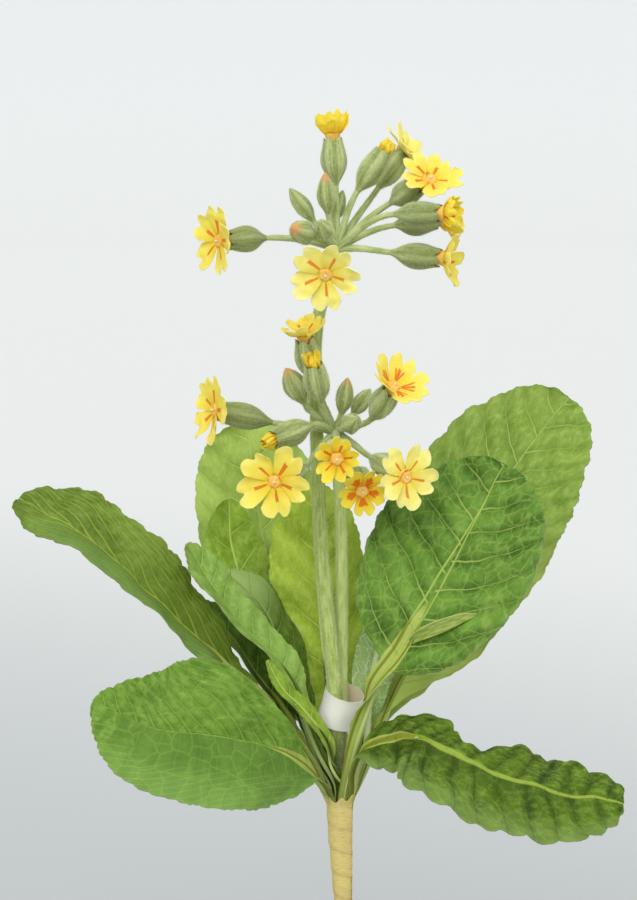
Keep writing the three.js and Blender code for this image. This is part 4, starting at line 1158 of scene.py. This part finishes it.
def opening_bloom(name, cup, seed):
    """Five crumpled petals that still close over each other at the mouth of a calyx."""
    base, mouth = np.array(cup["base"], float), np.array(cup["mouth"], float)
    out = unit(mouth - base)
    side, up = across_and_up(out, BLOOM_HINT)
    sheets = []
    for k in range(5):
        draw = random.Random(seed * 20 + k)
        middle = PETAL_ARC * k + draw.uniform(-0.2, 0.2)
        tall, bulge, flare = draw.uniform(3.8, 5.4), draw.uniform(2.3, 2.9), draw.uniform(-1.6, 0.5)
        crumple = ripples(seed * 20 + k, 5, 2, 6)

        def place(x, along, middle=middle, tall=tall, bulge=bulge, flare=flare, crumple=crumple):
            q = 1 - 2 * x
            turn = middle + q * (0.72 - 0.2 * along)
            height = lerp(-1.1, tall, along) - 1.3 * q * q * along
            height = height - 0.5 * np.exp(-((q / 0.3) ** 2)) * along
            radius = lerp(1.4, bulge, np.sin(np.pi / 2 * np.clip(along * 1.7, 0, 1)))
            radius = radius + flare * smoothstep(along, 0.5, 1) + 0.35 * crumple(q * 3, height)
            radius = np.maximum(radius + 0.15 * q - 0.35 * q * q * along, 0.2)
            points = mouth + out * height[:, None] + round_about(turn, side, up) * radius[:, None]
            return points, np.stack([k + 0.5 + q * 0.499, along * 0.7], axis=-1)

        sheets.append(thicken(sheet(12, 14, place), PETAL_THICKNESS))
    plug = [(0, 1.4, 0), (0.4, 2.0, 0), (0.8, 1.2, 0), (1, 0, 0)]
    sheets.append(turned(mouth - out * 1.1, mouth + out * 3.4, plug, 14, 8, finish=1))
    finishes = [petal_paint("petal_folded", PETALS["folded"]), throat_paint()]
    return piece("opening_bell_" + name, sheets, finishes, ["corolla_" + name], sharp=60)


# Wrapped stem and paper band


STEM_LINE = [(0, 0, 24.3), (0, 0, 55), (0, 0, 84), (-0.2, 0, 110), (-0.9, 0, 130), (-1.4, 0, 145)]
STEM_OUTLINE = [(0, 2.9), (0.5, 2.8), (0.68, 3), (0.86, 4), (1, 4.7)]
TAPE_PITCH = 8.5
# Shares of the stem's rows: where its foot is closed, its wall ends, its collar is furthest out and turns
# inside, and where it is back at the wall
FOOT_ROWS, WALL_ROWS, COLLAR_ROWS, INSIDE_ROWS, BACK_ROWS = 0.008, 0.93, 0.955, 0.965, 0.985


def wrapped_stem():
    """The stem in its winding of tape. Its rows run up it, then out over the torn collar, back inside
    that and to the middle of the top."""
    spine = Spine(STEM_LINE)
    dent = ripples(31, 7, 3, 11)
    torn = ripples(32, 6, 2.6, 9)
    shares, radii = zip(*STEM_OUTLINE)

    def place(around, along):
        angle = 2 * np.pi * around
        climb = np.interp(along, [FOOT_ROWS, WALL_ROWS], [0, 1])
        distance = climb * spine.length
        centre, ahead = spine.at(distance)
        radius = np.interp(climb, shares, radii)
        lap = (distance / TAPE_PITCH + around) % 1
        wrap = 0.16 * (1 - lap) - 0.08 * np.exp(-((lap / 0.04) ** 2))
        crease = 0.1 * dent(angle * 3, distance) * smoothstep(distance, 30, 60)
        frill = np.clip(2.3 + 1.3 * torn(np.cos(angle) * 4, np.sin(angle) * 4), 0.7, 4.2)
        frill = frill * np.interp(along, [WALL_ROWS, COLLAR_ROWS, INSIDE_ROWS, BACK_ROWS], [0, 1, 1, 0])
        inside = np.interp(along, [COLLAR_ROWS, INSIDE_ROWS], [0, 0.3])
        closing = np.interp(along, [0, FOOT_ROWS, BACK_ROWS, 1], [0, 1, 1, 0])
        ring = (radius + wrap + crease + frill * 0.4 - inside) * closing
        outward = round_about(angle, *across_and_up(ahead, np.array([0.3, 1, 0.2])))
        points = centre + outward * ring[:, None] + ahead * frill[:, None]
        return points, np.stack([around * 18, distance], axis=-1)

    return piece("paper_taped_stem", [sheet(64, 260, place)], [tape_paint()],
                 ["wrapped_stem"], sharp=40)


def tape_paint():
    paint = Paint("paper_tape")
    around = paint.split(paint.uv("shares"))[0]
    distance = paint.split(paint.uv("flat"))[1]
    turns = distance / TAPE_PITCH + around
    lap = turns - turns.math("FLOOR")
    fibre = paint.streaks((0.5, 2.2), 4.0, 0.65)
    stain = paint.noise(paint.place(), 90.0, 3.0)
    colour = paint.mix(paint.ease(fibre, 0.3, 0.7), tint(226, 204, 120), tint(242, 224, 148))
    colour = paint.over(colour, (paint.ease(stain, 0.5, 0.75) * 0.3, tint(196, 168, 96)),
                        (paint.ease(lap, 0.05, 0.0) * 0.25, tint(180, 156, 92)),
                        (paint.ease(lap, 0.9, 1.0) * 0.35, tint(228, 214, 156)))
    return paint.finish(colour, fibre * 0.2 + 0.6, fibre + lap * 0.3, 0.0004, 0.8,
                        {"Specular IOR Level": 0.25})


BAND_MIDDLE = np.array([-1.2, 0.6, 180.0])
BAND_HALF_WIDTH, BAND_HALF_DEPTH, BAND_HALF_HEIGHT = 7, 7.5, 6


def paper_band():
    """A blank paper strip round both stalks, its end lapped over its start."""
    tilt, lean = math.radians(15), math.radians(16)
    turn = np.array(Matrix.Rotation(tilt, 3, "X") @ Matrix.Rotation(lean, 3, "Y"))
    slack = ripples(77, 4, 9, 20)

    def place(around, along):
        travel = lerp(-0.04, 1.08, around)
        angle = 2 * np.pi * travel - 0.9
        height = lerp(-BAND_HALF_HEIGHT, BAND_HALF_HEIGHT, along)
        bulge = 0.12 * slack(travel * 44, height) + 0.35 * smoothstep(travel, 0.93, 1.02)
        ring = np.stack([np.cos(angle) * (BAND_HALF_WIDTH + bulge),
                         np.sin(angle) * (BAND_HALF_DEPTH + bulge), height], axis=-1)
        return BAND_MIDDLE + ring @ turn.T, np.stack([travel * 46, height], axis=-1)

    strip = thicken(sheet(120, 16, place), 0.2, under=1)
    # Painted shade: the paper's inner face is tinted tan for the shade inside the band.
    finishes = [band_paint("band_front", (236, 234, 222), (246, 244, 236)),
                band_paint("band_inside_shade", (222, 204, 176), (236, 220, 194))]
    return piece("blank_paper_band", [strip], finishes, ["paper_band"])


def band_paint(name, low, high):
    paint = Paint(name)
    fibre = paint.noise(paint.stretch(paint.uv("flat"), (0.8, 1.4, 1)), 1.2, 4.0, 0.6)
    colour = paint.mix(fibre, tint(*low), tint(*high))
    height = paint.split(paint.uv("flat"))[1]
    colour = paint.mix(paint.ease(abs(height), 5.3, 6.0) * 0.3, colour, tint(214, 206, 186))
    return paint.finish(colour, fibre * 0.15 + 0.45, fibre, 0.0001, 0.4)


# Pot and soil


# Radius and height of the pot's section, from the middle of its foot round to the middle of its floor,
# each with the size of the rounding of that corner
POT_SECTION = [(0, 0, 0), (38, 0, 1.2), (47.2, 70, 0.8), (55, 70, 1.4), (55, 90, 2.2), (50, 90, 1.8),
               (47.5, 71, 3), (42.5, 64, 3), (33, 6, 2.5), (0, 6, 0)]
RIM_RADIUS = 55
SOIL_TOP = 81
SOIL_MOUND = 2.2
SOIL_HOLE = 3.2
SOIL_EDGE = 49.3
LUMPS = 620
SOIL_SECTION = [(0, 24.4, 0), (SOIL_HOLE, 24.4, 0.6), (SOIL_HOLE, SOIL_TOP, 0.5),
                (SOIL_EDGE, SOIL_TOP, 0.6),
                (47.2, 71.2, 2), (42.1, 64, 3), (32.8, 6.4, 0.8), (0, 6.4, 0)]


def rounded_section(section, spacing):
    """Points along a section with its corners rounded, about the spacing apart."""
    points = [np.array(section[0][:2], float)]
    corners = [(np.array(c[:2], float), c[2]) for c in section]
    for (a, _), (b, size), (c, _) in zip(corners, corners[1:], corners[2:]):
        start, end = b + unit(a - b) * size, b + unit(c - b) * size
        for t in np.linspace(0, 1, 7):
            points.append((1 - t) ** 2 * start + 2 * t * (1 - t) * b + t * t * end)
    points.append(corners[-1][0])
    dense = [points[0]]
    for a, b in zip(points, points[1:]):
        pieces = max(1, int(np.linalg.norm(b - a) / spacing))
        dense += [lerp(a, b, (i + 1) / pieces) for i in range(pieces)]
    return np.array(dense)


def spun(section, columns, spacing, shape):
    """A closed sheet that turns a section round the upright axis; shape moves its points."""
    path = rounded_section(section, spacing)

    def place(around, along):
        angle = 2 * np.pi * around
        row = np.rint(along * (len(path) - 1)).astype(int)
        radius, height = path[row, 0], path[row, 1]
        radius, height = shape(angle, radius, height)
        points = np.stack([radius * np.cos(angle), radius * np.sin(angle), height], axis=-1)
        return points, np.stack([around * 300, along * 300], axis=-1)

    return sheet(columns, len(path) - 1, place)


def clay_pot():
    wobble = ripples(11, 5, 60, 140)

    def shape(angle, radius, height):
        throwing = 0.1 * np.sin(height * 1.9) * smoothstep(radius, 30, 36) * (height > 2)
        uneven = 0.15 * wobble(np.cos(angle) * 50, np.sin(angle) * 50 + height)
        return radius + (throwing + uneven) * (radius > 30), height

    return piece("clay_pot", [spun(POT_SECTION, 96, 2.5, shape)], [clay_paint()], ["pot"],
                 sharp=40)


def clay_paint():
    paint = Paint("terracotta")
    place = paint.place()
    z = paint.split(place)[2]
    cloud = paint.noise(place, 28.0, 4.0, 0.6)
    grain = paint.noise(place, 900.0, 3.0, 0.7)
    ring = paint.noise(paint.join(0.0, 0.0, z), 700.0, 2.0)
    lime = paint.ease(z + (cloud - 0.5) * 0.03, 0.028, 0.002)
    damp = paint.ease(z + (cloud - 0.5) * 0.02, 0.069, 0.082)
    damp = damp * paint.ease(paint.noise(place, 60.0, 3.0), 0.5, 0.7)
    colour = paint.mix(paint.ease(cloud, 0.3, 0.7), tint(176, 96, 62), tint(200, 122, 84))
    colour = paint.over(colour, (paint.ease(grain, 0.55, 0.75) * 0.3, tint(222, 160, 124)),
                        (lime * 0.3, tint(222, 196, 174)), (damp * 0.35, tint(140, 82, 56)))
    return paint.finish(colour, grain * 0.15 + 0.72, grain + ring * 0.6, 0.0005, 0.6,
                        {"Specular IOR Level": 0.25})


def soil_relief(x, y):
    """How far the soil stands above its edge: a low mound with uneven hollows."""
    r = np.hypot(x, y)
    rolling = 0.7 * np.sin(0.31 * x + 1.3) * np.cos(0.27 * y) + 0.4 * np.sin(0.5 * y)
    return SOIL_MOUND * (1 - r / RIM_RADIUS) + rolling


def potting_soil():
    coarse, medium, fine = ripples(41, 9, 7, 16), ripples(42, 9, 3, 6), ripples(43, 9, 1.6, 2.6)

    def shape(angle, radius, height):
        x, y = radius * np.cos(angle), radius * np.sin(angle)
        crust = smoothstep(height, SOIL_TOP - 0.7, SOIL_TOP)
        rough = 0.35 * coarse(x, y) + 0.4 * np.abs(medium(x, y)) + 0.25 * np.abs(fine(x, y)) - 0.5
        rise = soil_relief(x, y) + rough * smoothstep(radius, SOIL_HOLE, 7)
        rise = rise * (1 - 0.6 * smoothstep(radius, 46, SOIL_EDGE))
        return radius, height + rise * crust

    sheets = [spun(SOIL_SECTION, 150, 0.95, shape)]
    draw = random.Random(45)
    for _ in range(LUMPS):
        angle, radius = draw.uniform(0, 2 * math.pi), draw.uniform(6, 46.5)
        x, y = radius * math.cos(angle), radius * math.sin(angle)
        sheets.append(crumb(draw, x, y, SOIL_TOP + float(soil_relief(x, y)) - 0.1))
    return piece("potting_soil", sheets, [soil_paint()], ["soil"], weld=False, sharp=70)


def crumb(draw, x, y, z):
    """A rough lump of soil or bark, 1 to 4 mm across."""
    bm = bmesh.new()
    bmesh.ops.create_icosphere(bm, subdivisions=1, radius=1)
    size = draw.uniform(0.5, 1.2) if draw.random() < 0.85 else draw.uniform(1.3, 2.2)
    for vert in bm.verts:
        vert.co *= draw.uniform(0.75, 1.25)
    scale = Vector((size * draw.uniform(0.8, 1.5), size, size * draw.uniform(0.5, 0.9))) * MM
    turn = Matrix.Rotation(draw.uniform(0, 6.28), 4, "Z")
    tilt = Matrix.Rotation(draw.uniform(-0.5, 0.5), 4, "X")
    place = Matrix.Translation(Vector((x, y, z)) * MM) @ turn @ tilt @ Matrix.Diagonal((*scale, 1))
    bmesh.ops.transform(bm, verts=bm.verts, matrix=place)
    mesh = bpy.data.meshes.new("crumb")
    bm.to_mesh(mesh)
    bm.free()
    return mesh


def soil_paint():
    paint = Paint("peat")
    place = paint.place()
    coarse = paint.noise(place, 160.0, 4.0, 0.7)
    fine = paint.noise(place, 900.0, 3.0, 0.7)
    colour = paint.mix(paint.ease(coarse, 0.35, 0.65), tint(46, 34, 26), tint(78, 58, 42))
    colour = paint.mix(paint.ease(fine, 0.58, 0.7) * 0.5, colour, tint(126, 100, 72))
    return paint.finish(colour, fine * 0.1 + 0.85, fine + coarse, 0.0008, 1.0,
                        {"Specular IOR Level": 0.15})


# The plant


for number, (name, leaf) in enumerate(LEAVES.items()):
    leaf_piece(name, leaf, number + 1)
for number, (name, bloom) in enumerate(BLOOMS.items()):
    corolla(name, bloom, number + 1)
for number, (name, cup) in enumerate(OPENING.items()):
    opening_bloom(name, cup, number + 41)
for number, name in enumerate(SCAPES):
    felted = flower_stalk(name)
    hairs(f"felt_hairs_{name}", felted, HAIRS_PER_STALK, 60 + number)
wrapped_stem()
paper_band()
clay_pot()
potting_soil()


# Floor, light and camera


# The floor's radius and height in mm, where it starts to rise, and where that rise would end
FLOOR_RADIUS, FLOOR_HEIGHT = 9000, 3600
FLOOR_RISE = (4500, 11000)


def floor():
    """A round pale floor that curves up far off; its tints are painted shade, darker under the plant and
    towards the left, and darker again far off where it rises.
    """

    def place(around, along):
        angle = 2 * np.pi * around
        radius = FLOOR_RADIUS * (1 - along) ** 1.5
        height = FLOOR_HEIGHT * smoothstep(radius, *FLOOR_RISE) ** 1.5
        points = np.stack([radius * np.cos(angle), radius * np.sin(angle), height], axis=-1)
        return points, points[:, :2]

    mesh = sheet(96, 48, place)
    paint = Paint("floor_paper")
    x, y, _ = paint.split(paint.place())
    far = (x * x + y * y).math("SQRT")
    grain = paint.noise(paint.place(), 40.0, 2.0)
    near = paint.ease(far + x * 0.7, 0.25, 1.65)
    colour = paint.mix(near, tint(190, 193, 193), tint(224, 225, 223))
    colour = paint.mix(paint.ease(far, 4.0, 8.5), colour, tint(200, 202, 203))
    mesh.shade_smooth()
    mesh.materials.append(paint.finish(colour, grain * 0.05 + 0.9, fixed={"Specular IOR Level": 0.05}))
    made = bpy.data.objects.new("floor", mesh)
    bpy.context.scene.collection.objects.link(made)


def sun(name, strength, angle, towards):
    """A soft light from far off; angle is the size of its disc in degrees."""
    lamp = bpy.data.lights.new(name, "SUN")
    lamp.energy, lamp.angle = strength, math.radians(angle)
    made = bpy.data.objects.new(name, lamp)
    made.rotation_euler = Vector(towards).to_track_quat("-Z", "Y").to_euler()
    bpy.context.scene.collection.objects.link(made)


floor()
sun("key", 1.8, 50, (0.25, 0.9, -0.85))
sun("fill", 0.5, 60, (-0.7, 0.7, -0.6))
scene = bpy.context.scene
scene.world = bpy.data.worlds.new("studio")
scene.world.use_nodes = True
sky = scene.world.node_tree.nodes["Background"]
sky.inputs["Color"].default_value = (0.8, 0.83, 0.84, 1)
sky.inputs["Strength"].default_value = 0.8
scene.view_settings.view_transform = "Standard"

# The photo's camera: how far it looks down, what it looks at, how far off it is, and its lens
DOWNWARD = math.radians(8)
AIM = Vector((-0.0089, 0, 0.2718))
DISTANCE = 1.1
FOCAL_LENGTH, SENSOR_WIDTH = 125.7, 36
lens = bpy.data.cameras.new("photo_camera")
lens.lens, lens.sensor_width = FOCAL_LENGTH, SENSOR_WIDTH
camera = bpy.data.objects.new("photo_camera", lens)
back = Vector((0, -math.cos(DOWNWARD), math.sin(DOWNWARD)))
camera.location = AIM + back * DISTANCE
camera.rotation_euler = back.to_track_quat("Z", "Y").to_euler()
scene.collection.objects.link(camera)
scene.camera = camera
